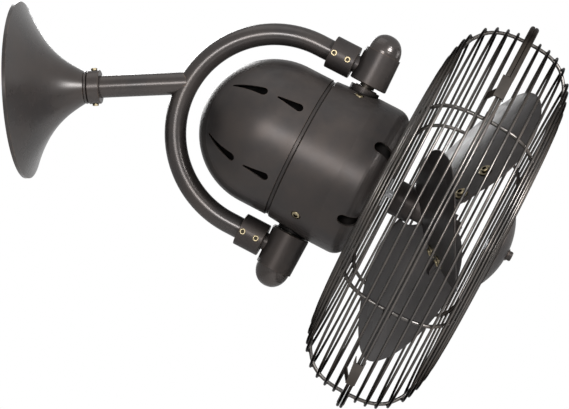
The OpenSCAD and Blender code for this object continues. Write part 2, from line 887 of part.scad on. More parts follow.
module front_housing() {
    color(bronze)
        head()
            difference() {
                union() {
                    difference() {
                        housing_core(0);
                        turned()
                            polygon(concat([[0, housing_end - 1], [housing_r - housing_wall, housing_end - 1]],
                                housing_profile(housing_wall), [[0, face_s - housing_wall]]));
                    }
                    ring(air_ring_r - 2, air_ring_r, air_ring_s, face_s - housing_wall / 2);
                    for (k = sides)
                        translate([pivot_s, 0, 0])
                            rotate([k > 0 ? 0 : 180, 0, 0])
                                post(boss_r - 1, locknut_seat(), housing_r - 1);
                }
                bar(face_hole_r, motor_front, face_s + 1);
                for (k = sides)
                    translate([pivot_s, 0, 0])
                        rotate([k > 0 ? 0 : 180, 0, 0])
                            post(shank_r, shank_in, housing_wide_r + 5);
                for (t = slot_angles)
                    at_angle(t)
                        translate([0, 0, face_r - 4]) {
                            translate([vent_s + vent_width / 2, 0, 0])
                                cylinder(r = vent_width / 2, h = 30);
                            translate([vent_s + vent_width / 2, -vent_width / 2, 0])
                                cube([30, vent_width, 30]);
                        }
                for (t = screw_angles)
                    at_angle(t)
                        translate([housing_screw_s, 0, 0]) {
                            post(recess_r, screw_seat(), housing_wide_r + 5);
                            post(blade_shank_r, screw_seat() - 5, housing_wide_r + 5);
                        }
            }
}

function locknut_seat() = housing_r - housing_wall - 1.5;
function screw_seat() = housing_r + 0.8;

module pivot_boss(k) {
    color(bronze)
        difference() {
            on_pivot(k)
                union() {
                    post(boss_r, housing_r - 2, boss_out(k));
                }
            head()
                housing_core(0);
            on_pivot(k)
                post(shank_r, shank_in - 1, boss_out(k) + 1);
        }
}

module pivot_bosses() {
    pivot_boss(1);
    pivot_boss(-1);
}

module boss_sleeves() {
    color(steel)
        for (k = sides)
            on_pivot(k)
                difference() {
                    post(shank_r, shank_in, boss_out(k));
                    post(bush_r, shank_in - 1, boss_out(k) + 1);
                }
}

module pivot_bushes() {
    color(brass)
        for (k = sides)
            on_pivot(k)
                difference() {
                    union() {
                        post(bush_r, bush_in, boss_out(k) + bush_flange);
                        post(bush_flange_r, boss_out(k), boss_out(k) + bush_flange);
                    }
                    post(pin_r + bush_clearance, bush_in - 1, boss_out(k) + bush_flange + 1);
                }
}

module boss_locknuts() {
    color(steel)
        for (k = sides)
            on_pivot(k)
                difference() {
                    translate([0, 0, locknut_seat() - locknut_height])
                        cylinder(r = locknut_r, h = locknut_height, $fn = 6);
                    post(shank_r, shank_in, boss_out(k));
                }
}

module housing_screws() {
    color(brass)
        head()
            for (t = screw_angles)
                at_angle(t)
                    translate([housing_screw_s, 0, 0]) {
                        union() {
                            domed_screw(housing_screw_r, screw_seat(), screw_seat() + 2.6, 1.7, 1.6);
                            post(blade_shank_r, screw_seat() - 16, screw_seat() + 0.4);
                        }
                    }
}

// Motor inside the head

module motor_frame() {
    color(steel)
        head()
            difference() {
                union() {
                    ring(frame_in_r, motor_r, frame_rear, frame_front);
                    intersection() {
                        for (t = screw_angles)
                            at_angle(t)
                                translate([housing_screw_s, 0, 0])
                                    post(post_r, frame_in_r + 1, housing_wide_r);
                        turned()
                            polygon(concat([[0, housing_end], [housing_r - housing_wall, housing_end]],
                                housing_profile(housing_wall), [[0, face_s - housing_wall]]));
                    }
                    translate([frame_rear, -bracket_width / 3, -motor_r])
                        cube([3.5, bracket_width / 1.5, 2.5]);
                }
                for (t = screw_angles)
                    at_angle(t)
                        translate([housing_screw_s, 0, 0])
                            post(blade_shank_r, screw_seat() - 16, housing_wide_r);
            }
}

module stator_core() {
    color(steel)
        head()
            ring(core_bore_r, frame_in_r, core_rear, core_front);
}

module stator_windings() {
    color(copper)
        head() {
            soft_ring(winding_in_r, winding_out_r, core_rear - winding_overhang, core_rear, 2);
            soft_ring(winding_in_r, winding_out_r, core_front, core_front + winding_overhang, 2);
        }
}

module motor_rear_bell() {
    color(steel)
        head()
            union() {
                ring(frame_in_r, motor_r, motor_rear, frame_rear);
                ring(shaft_r + 1.5, frame_in_r, motor_rear, motor_rear + 2.5);
                ring(bearing_r, bearing_r + 3, motor_rear + 2.5, motor_rear + 2.5 + bearing_length);
            }
}

module motor_front_bell() {
    color(steel)
        head()
            union() {
                ring(frame_in_r, motor_r, frame_front, motor_front);
                ring(bearing_r, frame_in_r, motor_front - 2.5, motor_front);
                ring(bearing_r, nose_r, motor_front, nose_end);
            }
}

module shaft_bearings() {
    color(steel)
        head() {
            ring(shaft_r + bush_clearance, bearing_r, motor_rear + 2.5, motor_rear + 2.5 + bearing_length);
            ring(shaft_r + bush_clearance, bearing_r, motor_front, motor_front + bearing_length);
        }
}

module drive_bracket() {
    color(steel)
        head()
            difference() {
                translate([drive_s - drive_axis_offset - drive_r - 3, -bracket_width / 2,
                    -motor_r - bracket_thickness])
                    cube([frame_rear + 3.5 - drive_s + drive_axis_offset + drive_r + 3, bracket_width,
                        bracket_thickness]);
                translate([drive_s, 0, -motor_r - 3])
                    cylinder(r = 2.5 + bush_clearance, h = 4);
            }
}

module drive_motor() {
    color(steel)
        head()
            difference() {
                translate([drive_s - drive_axis_offset, 0, -motor_r])
                    cylinder(r = drive_r, h = drive_height);
                translate([drive_s, 0, -motor_r - 1])
                    cylinder(r = 2.5 + bush_clearance, h = 8);
            }
}

module capacitor() {
    color([0.15, 0.15, 0.16])
        head()
            translate([motor_rear - 28, -12, 8])
                cube([28, 24, 34]);
}

// Baffle behind the dome slots: it keeps dust off the windings and its air holes face away from the slots
module inner_cup() {
    wall = 1.5;
    seat = dome_end - seam_lip;
    color(bronze)
        head()
            difference() {
                turned()
                    polygon(concat(
                        [[0, -cup_r]],
                        [for (i = [1:11]) [cup_r * sin(90 * i / 12), -cup_r * cos(90 * i / 12)]],
                        [[cup_r, 0], [cup_r, seat - wall], [dome_r - dome_wall, seat - wall],
                            [dome_r - dome_wall, seat], [cup_r - wall, seat], [cup_r - wall, 0]],
                        [for (i = [11:-1:1]) (cup_r - wall) * [sin(90 * i / 12), -cos(90 * i / 12)]],
                        [[0, wall - cup_r]]));
                for (t = slot_angles)
                    at_angle(t + 30)
                        translate([-cup_r / 2, 0, cup_r / 3])
                            cylinder(r = cup_hole_r, h = cup_r);
            }
}

// Turning parts

module motor_shaft() {
    color(steel)
        head()
            bar(shaft_r, shaft_rear, shaft_end);
}

module rotor() {
    color(steel)
        head()
            ring(shaft_r, core_bore_r - air_gap, core_rear, core_front);
}

module blade_hub() {
    color(bronze)
        head()
            union() {
                soft_ring(shaft_r, hub_r, hub_rear, hub_front, 1);
                ring(shaft_r, hub_boss_r, hub_front, boss_end);
            }
}

module hub_nut() {
    color(steel)
        head()
            difference() {
                translate([boss_end, 0, 0])
                    rotate([0, 90, 0])
                        cylinder(r = 8, h = 6.5, $fn = 6);
                bar(shaft_r, boss_end - 1, boss_end + 8);
            }
}

// Blade surface: u outward, v across the blade and w off its face, in the frame of at_angle

function blade_pitch(u) = pitch_root + (pitch_tip - pitch_root) * (u - 40) / 125;

function blade_at(u, v, w) = let (
        p = -blade_pitch(u),
        off = w + blade_camber * v * v) [
        blade_s + blade_rake * (u - 100) + v * sin(p) + off * cos(p),
        v * cos(p) - off * sin(p),
        u];

function blade_edge(t) = let (
        e = cos(t) > 0 ? blade_round : blade_root_round,
        v = blade_half_width * (1 + blade_egg * cos(t)) * sign(sin(t)) * pow(abs(sin(t)), e) + blade_skew * cos(t),
        q = abs(v) * cos(pitch_root),
        notch = q < blade_root ? sqrt(blade_root * blade_root - q * q) : -blade_root) [
        max(blade_mid + blade_half * cos(t), notch),
        v];

// A closed skin between two like grids that share an outline
module blade_sheet() {
    rings = 5;
    steps = 48;
    centre = [blade_mid, 0];
    top = concat([centre], [for (i = [1:rings]) for (j = [0:steps - 1])
        centre + (blade_edge(360 * j / steps) - centre) * i / rings]);
    n = len(top);
    points = concat(
        [for (p = top) blade_at(p[0], p[1], blade_thickness / 2)],
        [for (p = top) blade_at(p[0], p[1], -blade_thickness / 2)]);
    upper = concat(
        [for (j = [0:steps - 1]) [0, 1 + j, 1 + (j + 1) % steps]],
        [for (i = [1:rings - 1]) for (j = [0:steps - 1]) let (
            a = 1 + (i - 1) * steps + j,
            b = 1 + (i - 1) * steps + (j + 1) % steps) [a, a + steps, b + steps]],
        [for (i = [1:rings - 1]) for (j = [0:steps - 1]) let (
            a = 1 + (i - 1) * steps + j,
            b = 1 + (i - 1) * steps + (j + 1) % steps) [a, b + steps, b]]);
    edge = [for (j = [0:steps - 1]) let (
        a = 1 + (rings - 1) * steps + j,
        b = 1 + (rings - 1) * steps + (j + 1) % steps) each [[a, a + n, b + n], [a, b + n, b]]];
    polyhedron(points = points, faces = concat(upper, [for (f = upper) [f[2] + n, f[1] + n, f[0] + n]], edge));
}

module blade(k) {
    color(bronze)
        head()
            at_angle(blade_angle + k * blade_step)
                blade_sheet();
}

module blade_1() {
    blade(1);
}

module blade_2() {
    blade(-1);
}

module blade_3() {
    blade(0);
}

// Chart place of a point rho from the axis and d beside the arm line
function arm_chart(rho, d) = let (
        a = arm_sweep * (rho - screw_rho_in) - arm_angle,
        u = rho * cos(a) - d * sin(a),
        q = rho * sin(a) + d * cos(a)) [u, q / cos(blade_pitch(u))];

// Half width of a blade arm: wide at the hub, rounded at its end
function arm_half(f) = (arm_wide - 2 * f) * (f < 0.85 ? 1 : sqrt(max(0.04, 1 - pow((f - 0.85) / 0.15, 2))));

module blade_arms() {
    steps = 14;
    w0 = blade_thickness / 2 + 0.15;
    w1 = w0 + blade_arm_thickness;
    first = hub_boss_r - 2;
    sections = [for (i = [0:steps]) let (
            f = i / steps,
            rho = first + (blade_arm_end - first) * f,
            h = arm_half(f),
            ridge = 3.4 * (1 - f) + 0.1) [
            for (q = [[-h, w0], [0, w0], [h, w0], [h, w1], [h * 0.3, w1], [0, w1 + ridge], [-h * 0.3, w1],
                [-h, w1]])
                let (c = arm_chart(rho, q[0])) blade_at(c[0], c[1], q[1])]];
    m = 8;
    points = [for (s = sections) each s];
    walls = [for (i = [0:steps - 1]) for (j = [0:m - 1]) let (
        a = i * m + j,
        b = i * m + (j + 1) % m) each [[a, b + m, b], [a, a + m, b + m]]];
    ends = [for (j = [1:m - 2]) each [[0, j, j + 1], [steps * m, steps * m + j + 1, steps * m + j]]];
    color(bronze)
        head()
            for (k = [0, 1, 2])
                at_angle(blade_angle + k * blade_step)
                    polyhedron(points = points, faces = concat(walls, ends));
}

// Put a fastener square on a blade face, its Z off the rear of the blade
module on_blade(rho) {
    c = arm_chart(rho, 0);
    p = blade_at(c[0], c[1], 0);
    across = blade_at(c[0], c[1] + 1, 0) - p;
    along = blade_at(c[0] + 1, c[1], 0) - p;
    z = cross(along, across) / norm(cross(along, across));
    x = across / norm(across);
    y = cross(z, x);
    multmatrix([[x[0], y[0], z[0], p[0]], [x[1], y[1], z[1], p[1]], [x[2], y[2], z[2], p[2]], [0, 0, 0, 1]])
        children();
}

module blade_washers() {
    color(brass)
        head()
            for (k = [0, 1, 2], rho = [screw_rho_in, screw_rho_out])
                at_angle(blade_angle + k * blade_step)
                    on_blade(rho)
                        difference() {
                            union() {
                                post(washer_r, blade_thickness / 2 + washer_seat, blade_thickness / 2 + washer_thickness);
                                translate([0, 0, blade_thickness / 2 + washer_thickness])
                                    cylinder(r1 = washer_r, r2 = washer_r - 0.5, h = 0.4);
                            }
                            post(blade_shank_r, 0, 6);
                        }
}

module blade_screws() {
    seat = blade_thickness / 2 + washer_thickness + 0.4;
    color(brass)
        head()
            for (k = [0, 1, 2], rho = [screw_rho_in, screw_rho_out])
                at_angle(blade_angle + k * blade_step)
                    on_blade(rho)
                        union() {
                            socket_screw(blade_head_r, seat, seat + 2.4, 1.6);
                            post(blade_shank_r, -blade_arm_thickness - 6.5, seat + 0.4);
                            translate([0, 0, -blade_arm_thickness - 5.6])
                                cylinder(r = 3.6, h = 2.6, $fn = 6);
                        }
}

// Guard

function ring_radius(d) = guard_r * pow(1 - pow(d / guard_half, guard_side_power), 1 / guard_face_power);
function ring_offset(r) = guard_half * pow(1 - pow(r / guard_r, guard_face_power), 1 / guard_side_power);

// Outermost touch of each ring with the guard shape, as [radius, offset from the rim plane]
function side_stop(i) = let (d = side_ring_start + i * side_ring_pitch) [ring_radius(d), d];
function face_stop(i) = let (r = face_ring_start - i * face_ring_pitch) [r, ring_offset(r)];
corner_stop = [(side_stop(side_rings - 1)[0] + face_ring_start) / 2 + 1.5,
    ring_offset((side_stop(side_rings - 1)[0] + face_ring_start) / 2 + 1.5)];

// Unit vector that points inward from the guard shape at a stop
function inward(p) = let (
        a = guard_face_power * pow(p[0] / guard_r, guard_face_power - 1) / guard_r,
        b = guard_side_power * pow(p[1] / guard_half, guard_side_power - 1) / guard_half) -[a, b] / norm([a, b]);

// Centre of a rib where it passes a stop
function rib_point(p) = p + inward(p) * (ring_wire_r + ring_to_rib);

module wire_ring(p, side) {
    c = p + inward(p) * ring_wire_r;
    translate([rim_s + side * c[1], 0, 0])
        rotate([0, 90, 0])
            rotate_extrude()
                translate([c[0], 0])
                    circle(r = ring_wire_r);
}

module side_ring_set(side) {
    for (i = [0:side_rings - 1])
        wire_ring(side_stop(i), side);
    wire_ring(corner_stop, side);
}

module rim_ring(side) {
    translate([rim_s + side * (rim_half - rim_wire_r), 0, 0])
        rotate([0, 90, 0])
            rotate_extrude()
                translate([rim_r, 0])
                    circle(r = rim_wire_r);
}

module rear_guard_side_rings() {
    color(bronze)
        head()
            union() {
                side_ring_set(-1);
                rim_ring(-1);
            }
}

module front_guard_side_rings() {
    color(bronze)
        head()
            union() {
                side_ring_set(1);
                rim_ring(1);
            }
}

module rear_guard_face_rings() {
    color(bronze)
        head()
            for (i = [0:rear_face_rings - 1])
                wire_ring(face_stop(i), -1);
}

module front_guard_face_rings() {
    color(bronze)
        head()
            for (i = [0:front_face_rings - 1])
                wire_ring(face_stop(i), 1);
}

// A wire of radius r swept along a path of [radius, station] points in the frame of at_angle
module swept(path, r) {
    m = rib_sides;
    last = len(path) - 1;
    sections = [for (i = [0:last]) let (
            a = path[max(i - 1, 0)],
            b = path[min(i + 1, last)],
            t = (b - a) / norm(b - a)) [
            for (j = [0:m - 1]) let (
                f = 360 * j / m,
                x = path[i][1] - r * cos(f) * t[0],
                z = path[i][0] + r * cos(f) * t[1]) [x, -r * sin(f), z]]];
    walls = [for (i = [0:last - 1]) for (j = [0:m - 1]) let (
        a = i * m + j,
        b = i * m + (j + 1) % m) each [[a, a + m, b + m], [a, b + m, b]]];
    ends = [for (j = [1:m - 2]) each [[0, j, j + 1], [last * m, last * m + j + 1, last * m + j]]];
    polyhedron(points = [for (s = sections) each s], faces = concat(walls, ends));
}

// Rib path: from the hub plate out along the face, round the corner, down the side and out to the rim wire
function rib_path(side, inner_r, inner_d) = let (
        low = rib_point(side_stop(0))[0],
        stops = concat(
            [for (i = [front_face_rings - 1:-1:0]) if (face_stop(i)[0] > inner_r + 6) face_stop(i)],
            [corner_stop],
            [for (i = [side_rings - 1:-1:0]) side_stop(i)])) concat(
        [[inner_r - 20, rim_s + side * inner_d], [inner_r, rim_s + side * inner_d]],
        [for (p = stops) [rib_point(p)[0], rim_s + side * rib_point(p)[1]]],
        [for (p = [[0.2, 4.3], [0.5, 2], [1.8, 0.5], [4.1, 0]]) [low + p[0], rim_s + side * (foot_d + p[1])]],
        [[rim_r - rim_wire_r + weld_depth, rim_s + side * foot_d]]);

module ribs(side, inner_r, inner_d) {
    color(bronze)
        head()
            for (k = [0:5])
                at_angle(rib_angle + 60 * k)
                    swept(rib_path(side, inner_r, inner_d), rib_wire_r);
}

module rear_guard_ribs() {
    ribs(-1, guard_plate_r, rim_s - rear_plate_front - rib_wire_r);
}

module front_guard_ribs() {
    ribs(1, front_cap_r + 4, guard_half - 2 * ring_wire_r - rib_wire_r + weld_depth);
}

rib_front = rim_s + guard_half - 2 * ring_wire_r + weld_depth;

module rear_guard_plate() {
    color(bronze)
        head()
            ring(nose_r, guard_plate_r, face_s, rear_plate_front);
}

module guard_nut() {
    color(steel)
        head()
            soft_ring(nose_r, guard_nut_r, rear_plate_front, rear_plate_front + guard_nut_length, 1);
}

module front_guard_plate() {
    color(bronze)
        head()
            ring(3, front_cap_r - 1, rib_front - 2 * rib_wire_r - guard_plate, rib_front - 2 * rib_wire_r);
}

function cap_profile(w) = let (
        rise = front_cap_end - front_cap_rim,
        big = (pow(front_cap_r, 2) + rise * rise) / (2 * rise),
        half = asin(front_cap_r / big)) concat(
        arc([0, front_cap_end - big], big - w, 90 - half, 90, 12));

module front_cap() {
    color(bronze)
        head()
            turned()
                polygon(concat(
                    [[front_cap_r - 1.4, rib_front], [front_cap_r, rib_front]],
                    [for (p = cap_profile(0)) if (p[0] > 3.2) p],
                    [[3, front_cap_end], [3, front_cap_end - 1.4]],
                    [for (i = [11:-1:0]) if (cap_profile(1.4)[i][0] > 3.2) cap_profile(1.4)[i]]));
}

module cap_stud() {
    color(steel)
        head()
            union() {
                bar(3, rib_front - 2 * rib_wire_r - guard_plate, front_cap_end + 3);
                bar(6, rib_front - 2 * rib_wire_r - guard_plate - 3, rib_front - 2 * rib_wire_r - guard_plate);
            }
}

module cap_nut() {
    color(bronze)
        head()
            difference() {
                union() {
                    soft_ring(0, cap_nut_r, front_cap_end, cap_nut_end, 1);
                    bar(cap_nut_r + 1.2, front_cap_end, front_cap_end + 1);
                }
                bar(3, front_cap_end - 1, front_cap_end + 3);
            }
}

// A strip that straddles both rim wires at the top of the guard
module rim_saddle() {
    half = rim_half + saddle_gap;
    low = clasp_out - saddle_depth;
    edge = half + clasp_sheet;
    color(bronze)
        head()
            rotate([0, 90, 0])
                rotate([0, 0, 180 - saddle_half])
                    rotate_extrude(angle = 2 * saddle_half)
                        polygon([[low, rim_s - edge], [clasp_out - 1, rim_s - edge], [clasp_out, rim_s - edge + 1],
                            [clasp_out, rim_s + edge - 1], [clasp_out - 1, rim_s + edge], [low, rim_s + edge],
                            [low, rim_s + half], [clasp_in, rim_s + half], [clasp_in, rim_s - half],
                            [low, rim_s - half]]);
}

// A clasp: a bent plate over both rim wires, a side in front of them and a foot to the first rear side ring
module clasp(low, high, rear_low, tab) {
    mid = (low + high) / 2;
    down = clasp_in * sin(low - mid);
    up = clasp_in * sin(high - mid);
    foot = clasp_in * sin(clasp_foot);
    ring_c = side_stop(0) + inward(side_stop(0)) * ring_wire_r;
    root = [clasp_in + clasp_sheet / 2, rear_low - 0.8];
    line = (root - ring_c) / norm(root - ring_c);
    side = [-line[1], line[0]] * clasp_sheet / 2;
    tip = ring_c + line * (ring_wire_r + rest_gap);
    head()
        translate([rim_s, 0, 0])
            at_angle(mid)
                union() {
                    intersection() {
                        ring(clasp_in, clasp_out, -clasp_rear - 5, clasp_front + 5);
                        translate([0, 0, rim_r - 20])
                            linear_extrude(height = 30)
                                union() {
                                    polygon([[-clasp_rear, up], [-rear_low, down + foot], [-rear_low, down],
                                        [clasp_front - 1.4, down], [clasp_front, down + 3],
                                        [clasp_front, up - 0.6], [clasp_front - 0.6, up]]);
                                    translate([tab > 0 ? 0 : -clasp_front - clasp_rear + 3.4, up - 1])
                                        polygon([[0.8, 0], [3.8, 0], [tab > 0 ? 3.4 : 1, 9.4], [tab > 0 ? 1.8 : 0.2, 9.8]]);
                                }
                    }
                    intersection() {
                        ring(clasp_out - saddle_depth, clasp_in + 0.2, clasp_front - 0.9, clasp_front);
                        translate([0, down + 3, rim_r - 20])
                            cube([clasp_front + 5, up - down - 3.6, 30]);
                    }
                    intersection() {
                        turned()
                            polygon([[root[0] + side[0], -root[1] - side[1]], [root[0] - side[0], side[1] - root[1]],
                                [tip[0] - side[0], side[1] - tip[1]], [tip[0] + side[0], -tip[1] - side[1]]]);
                        translate([-20, down, rim_r - 20])
                            cube([40, foot, 30]);
                    }
                }
}

module clasp_plates() {
    color(bronze) {
        clasp(upper_clasp_low, upper_clasp_high, clasp_rear - 0.3, 1);
        clasp(lower_clasp_low, lower_clasp_high, clasp_rear - 1.6, -1);
    }
}

wall_plate();
arm_socket();
stop_screws();
canopy_bell();
canopy_bead();
arm_tube();
canopy_collar();
yoke_tube();
clamp_collars();
clamp_screws();
upper_pivot_housing();
lower_pivot_housing();
dome_caps();
upper_pivot_pin();
lower_pivot_pin();
pin_nuts();
sector_gear();
drive_pinion();
rear_cover();
seam_ring();
front_housing();
pivot_bosses();
boss_sleeves();
pivot_bushes();
boss_locknuts();
housing_screws();
motor_frame();
stator_core();
stator_windings();
motor_rear_bell();
motor_front_bell();
shaft_bearings();
drive_bracket();
drive_motor();
capacitor();
inner_cup();
motor_shaft();
rotor();
blade_hub();
hub_nut();
blade_1();
blade_2();
blade_3();
blade_arms();
blade_washers();
blade_screws();
rear_guard_side_rings();
front_guard_side_rings();
rear_guard_face_rings();
front_guard_face_rings();
rear_guard_ribs();
front_guard_ribs();
rear_guard_plate();
guard_nut();
front_guard_plate();
front_cap();
cap_stud();
cap_nut();
rim_saddle();
clasp_plates();
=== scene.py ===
"""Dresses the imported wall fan: guard wires, rim saddle, blades, finishes and a plain studio."""

import math

import bmesh
import bpy
from bpy.props import FloatProperty, FloatVectorProperty, IntProperty, PointerProperty
from bpy.types import Operator, Panel, PropertyGroup
from mathutils import Matrix, Vector


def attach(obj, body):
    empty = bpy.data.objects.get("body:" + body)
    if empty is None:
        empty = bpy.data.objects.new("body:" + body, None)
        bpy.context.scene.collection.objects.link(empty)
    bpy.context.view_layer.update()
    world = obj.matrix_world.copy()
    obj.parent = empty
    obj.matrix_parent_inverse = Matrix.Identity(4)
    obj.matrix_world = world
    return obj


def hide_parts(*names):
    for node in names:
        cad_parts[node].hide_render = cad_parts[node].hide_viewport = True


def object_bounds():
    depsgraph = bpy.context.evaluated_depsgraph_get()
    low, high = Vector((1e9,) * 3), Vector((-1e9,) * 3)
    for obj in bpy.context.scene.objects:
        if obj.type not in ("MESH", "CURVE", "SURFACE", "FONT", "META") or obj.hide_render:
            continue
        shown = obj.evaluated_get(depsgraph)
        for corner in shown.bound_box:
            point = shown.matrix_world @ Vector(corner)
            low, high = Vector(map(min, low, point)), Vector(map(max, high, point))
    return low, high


bl_info = {
    "name": "Caged wall fan",
    "version": (1, 0, 0),
    "blender": (4, 5, 0),
    "location": "3D View > Sidebar > Wall Fan",
    "description": "Builds the wires, saddle, blades and finishes of a wall fan on its frame",
    "category": "Object",
}

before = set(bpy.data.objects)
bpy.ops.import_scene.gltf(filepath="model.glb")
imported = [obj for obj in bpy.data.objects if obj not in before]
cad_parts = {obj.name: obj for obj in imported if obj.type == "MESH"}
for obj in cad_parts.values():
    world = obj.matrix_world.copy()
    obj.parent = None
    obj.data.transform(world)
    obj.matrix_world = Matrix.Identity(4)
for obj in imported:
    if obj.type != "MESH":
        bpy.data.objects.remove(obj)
CAD_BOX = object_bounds()

MM = 0.001
HEAD_TILT = math.radians(29.6)
HEAD_ORIGIN = Vector((255.9, 0, -55.2)) * MM
HEAD_AXIS = Vector((math.cos(HEAD_TILT), 0, -math.sin(HEAD_TILT)))
HEAD_UP = Vector((math.sin(HEAD_TILT), 0, math.cos(HEAD_TILT)))
HEAD_SIDE = Vector((0, 1, 0))
WALL_AXIS = Vector((1, 0, 0))
RIM_STATION = 184
REAR, FRONT = -1, 1
SHARP_ANGLE = math.radians(40)
DUST_COLOUR = (0.2, 0.19, 0.18, 1)
# Near-black colours painted into occluded recesses and sockets as shade.
PAINT_RECESS_SHADE = (0.003, 0.003, 0.003, 1)
METAL_RECESS_SHADE = (0.006, 0.005, 0.004, 1)


class GuardSizes(PropertyGroup):
    """Sizes of the wire guard."""

    ring_wire: FloatProperty(
        name="Ring wire", description="Radius of each ring wire", default=1.35 * MM,
        min=0.5 * MM, max=3 * MM, precision=5, unit="LENGTH")
    rib_wire: FloatProperty(
        name="Rib wire", description="Radius of each rib wire", default=1.9 * MM,
        min=0.5 * MM, max=4 * MM, precision=5, unit="LENGTH")
    rim_wire: FloatProperty(
        name="Rim wire", description="Radius of the two rim wires", default=1.6 * MM,
        min=0.5 * MM, max=3 * MM, precision=5, unit="LENGTH")
    weld_bead: FloatProperty(
        name="Weld bead", description="Half length of the bead where a ring is welded to a rib",
        default=1.9 * MM, min=0.5 * MM, max=4 * MM, precision=5, unit="LENGTH")
    ring_steps: IntProperty(
        name="Ring steps", description="Number of straight steps round each ring", default=144,
        min=48, max=360)


class BladeSizes(PropertyGroup):
    """Sizes of the three blades."""

    thickness: FloatProperty(
        name="Sheet", description="Thickness of the blade sheet", default=1.4 * MM,
        min=0.5 * MM, max=4 * MM, precision=5, unit="LENGTH")
    outline_steps: IntProperty(
        name="Outline steps", description="Number of points round the outline of a blade",
        default=168, min=48, max=400)


class FinishColours(PropertyGroup):
    """Colours of the finishes, in linear light."""

    bronze: FloatVectorProperty(
        name="Bronze paint", description="Body colour of the satin bronze paint", subtype="COLOR",
        size=4, min=0, max=1, default=(0.031, 0.0282, 0.0276, 1))
    umber: FloatVectorProperty(
        name="Umber cast", description="Warmer tone in the mottle of the paint", subtype="COLOR",
        size=4, min=0, max=1, default=(0.039, 0.0332, 0.0306, 1))
    rubbed: FloatVectorProperty(
        name="Rubbed edge", description="Copper brown where an edge is rubbed", subtype="COLOR",
        size=4, min=0, max=1, default=(0.13, 0.083, 0.055, 1))
    brass: FloatVectorProperty(
        name="Brass", description="Colour of the screws and washers", subtype="COLOR",
        size=4, min=0, max=1, default=(0.62, 0.52, 0.33, 1))
    steel: FloatVectorProperty(
        name="Steel", description="Colour of the bare steel parts", subtype="COLOR",
        size=4, min=0, max=1, default=(0.45, 0.45, 0.46, 1))
    copper: FloatVectorProperty(
        name="Copper", description="Colour of the motor windings", subtype="COLOR",
        size=4, min=0, max=1, default=(0.45, 0.16, 0.06, 1))


class StudioSettings(PropertyGroup):
    """Lamps, floor and camera."""

    floor_height: FloatProperty(
        name="Floor", description="Height of the studio floor", default=-1.1,
        min=-3, max=-0.3, unit="LENGTH")
    ambient: FloatProperty(
        name="Ambient", description="Brightness of the room for soft light", default=0.05,
        min=0, max=1, subtype="FACTOR")
    key_power: FloatProperty(
        name="Key lamp", description="Power of the lamp behind the camera", default=46,
        min=0, max=200, unit="POWER")
    lens: FloatProperty(
        name="Lens", description="Focal length of the camera", default=131.98 * MM,
        min=0.02, max=0.4, precision=5, unit="CAMERA")


def fan_point(station, y, up):
    """A point of the fan head in world space, from millimetres forward, sideways and up."""
    return HEAD_ORIGIN + (HEAD_AXIS * station + HEAD_SIDE * y + HEAD_UP * up) * MM


def radial_axes(angle):
    """Tangential and radial directions about the head axis; 0 is the near side, 90 the top."""
    t = math.radians(angle)
    tangential = HEAD_SIDE * math.sin(t) + HEAD_UP * math.cos(t)
    radial = -HEAD_SIDE * math.cos(t) + HEAD_UP * math.sin(t)
    return tangential, radial


def at_angle(angle, station, tangential, radial):
    """A point from millimetres along the axis, along the tangent and out from the axis."""
    across, out = radial_axes(angle)
    return HEAD_ORIGIN + (HEAD_AXIS * station + across * tangential + out * radial) * MM


def grid_faces(bm, rows, close_rows=False, close_columns=False):
    """Quads between rows of vertices of equal length."""
    last_row = len(rows) if close_rows else len(rows) - 1
    width = len(rows[0])
    last_column = width if close_columns else width - 1
    for i in range(last_row):
        a, b = rows[i], rows[(i + 1) % len(rows)]
        for j in range(last_column):
            k = (j + 1) % width
            bm.faces.new((a[j], a[k], b[k], b[j]))


def sweep_wire(bm, path, radius, across, sides=10, closed=False):
    """A round wire of the given radius along a flat path; across is square to its plane."""
    rows = []
    count = len(path)
    for i, centre in enumerate(path):
        before = path[i - 1] if closed or i else path[0]
        after = path[(i + 1) % count] if closed or i < count - 1 else path[-1]
        out = (after - before).normalized().cross(across)
        rows.append([
            bm.verts.new(centre + (across * math.cos(f) + out * math.sin(f)) * radius)
            for f in (math.tau * j / sides for j in range(sides))])
    grid_faces(bm, rows, close_rows=closed, close_columns=True)
    if not closed:
        bm.faces.new(reversed(rows[0]))
        bm.faces.new(rows[-1])


def wire_circle(bm, centre_radius, station, wire_radius, steps):
    """A ring of wire about the head axis; sizes in millimetres, the wire radius in metres."""
    path = [at_angle(360 * i / steps, station, 0, centre_radius) for i in range(steps)]
    sweep_wire(bm, path, wire_radius, HEAD_AXIS, closed=True)


def finish_piece(bm, name, material, body, replaced=()):
    """Turns a bmesh into a named piece with its finish, body and slot."""
    bmesh.ops.recalc_face_normals(bm, faces=bm.faces)
    mesh = bpy.data.meshes.new(name)
    bm.to_mesh(mesh)
    bm.free()
    if not mesh.polygons:
        raise RuntimeError(f"{name} has no faces")
    mesh.materials.append(material)
    mesh.shade_smooth()
    mesh.set_sharp_from_angle(angle=SHARP_ANGLE)
    piece = bpy.data.objects.new(name, mesh)
    bpy.context.scene.collection.objects.link(piece)
    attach(piece, body)
    if replaced:
        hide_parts(*replaced)
    return piece


def add_node(tree, kind, **values):
    """A shader node with its plain settings."""
    node = tree.nodes.new(kind)
    for key, value in values.items():
        setattr(node, key, value)
    return node


def new_group(name, inputs, outputs):
    """A shader node group with named sockets, and its two end nodes."""
    tree = bpy.data.node_groups.new(name, "ShaderNodeTree")
    for label, kind, value in inputs:
        socket = tree.interface.new_socket(name=label, in_out="INPUT", socket_type=kind)
        socket.default_value = value
    for label, kind in outputs:
        tree.interface.new_socket(name=label, in_out="OUTPUT", socket_type=kind)
    return tree, tree.nodes.new("NodeGroupInput"), tree.nodes.new("NodeGroupOutput")


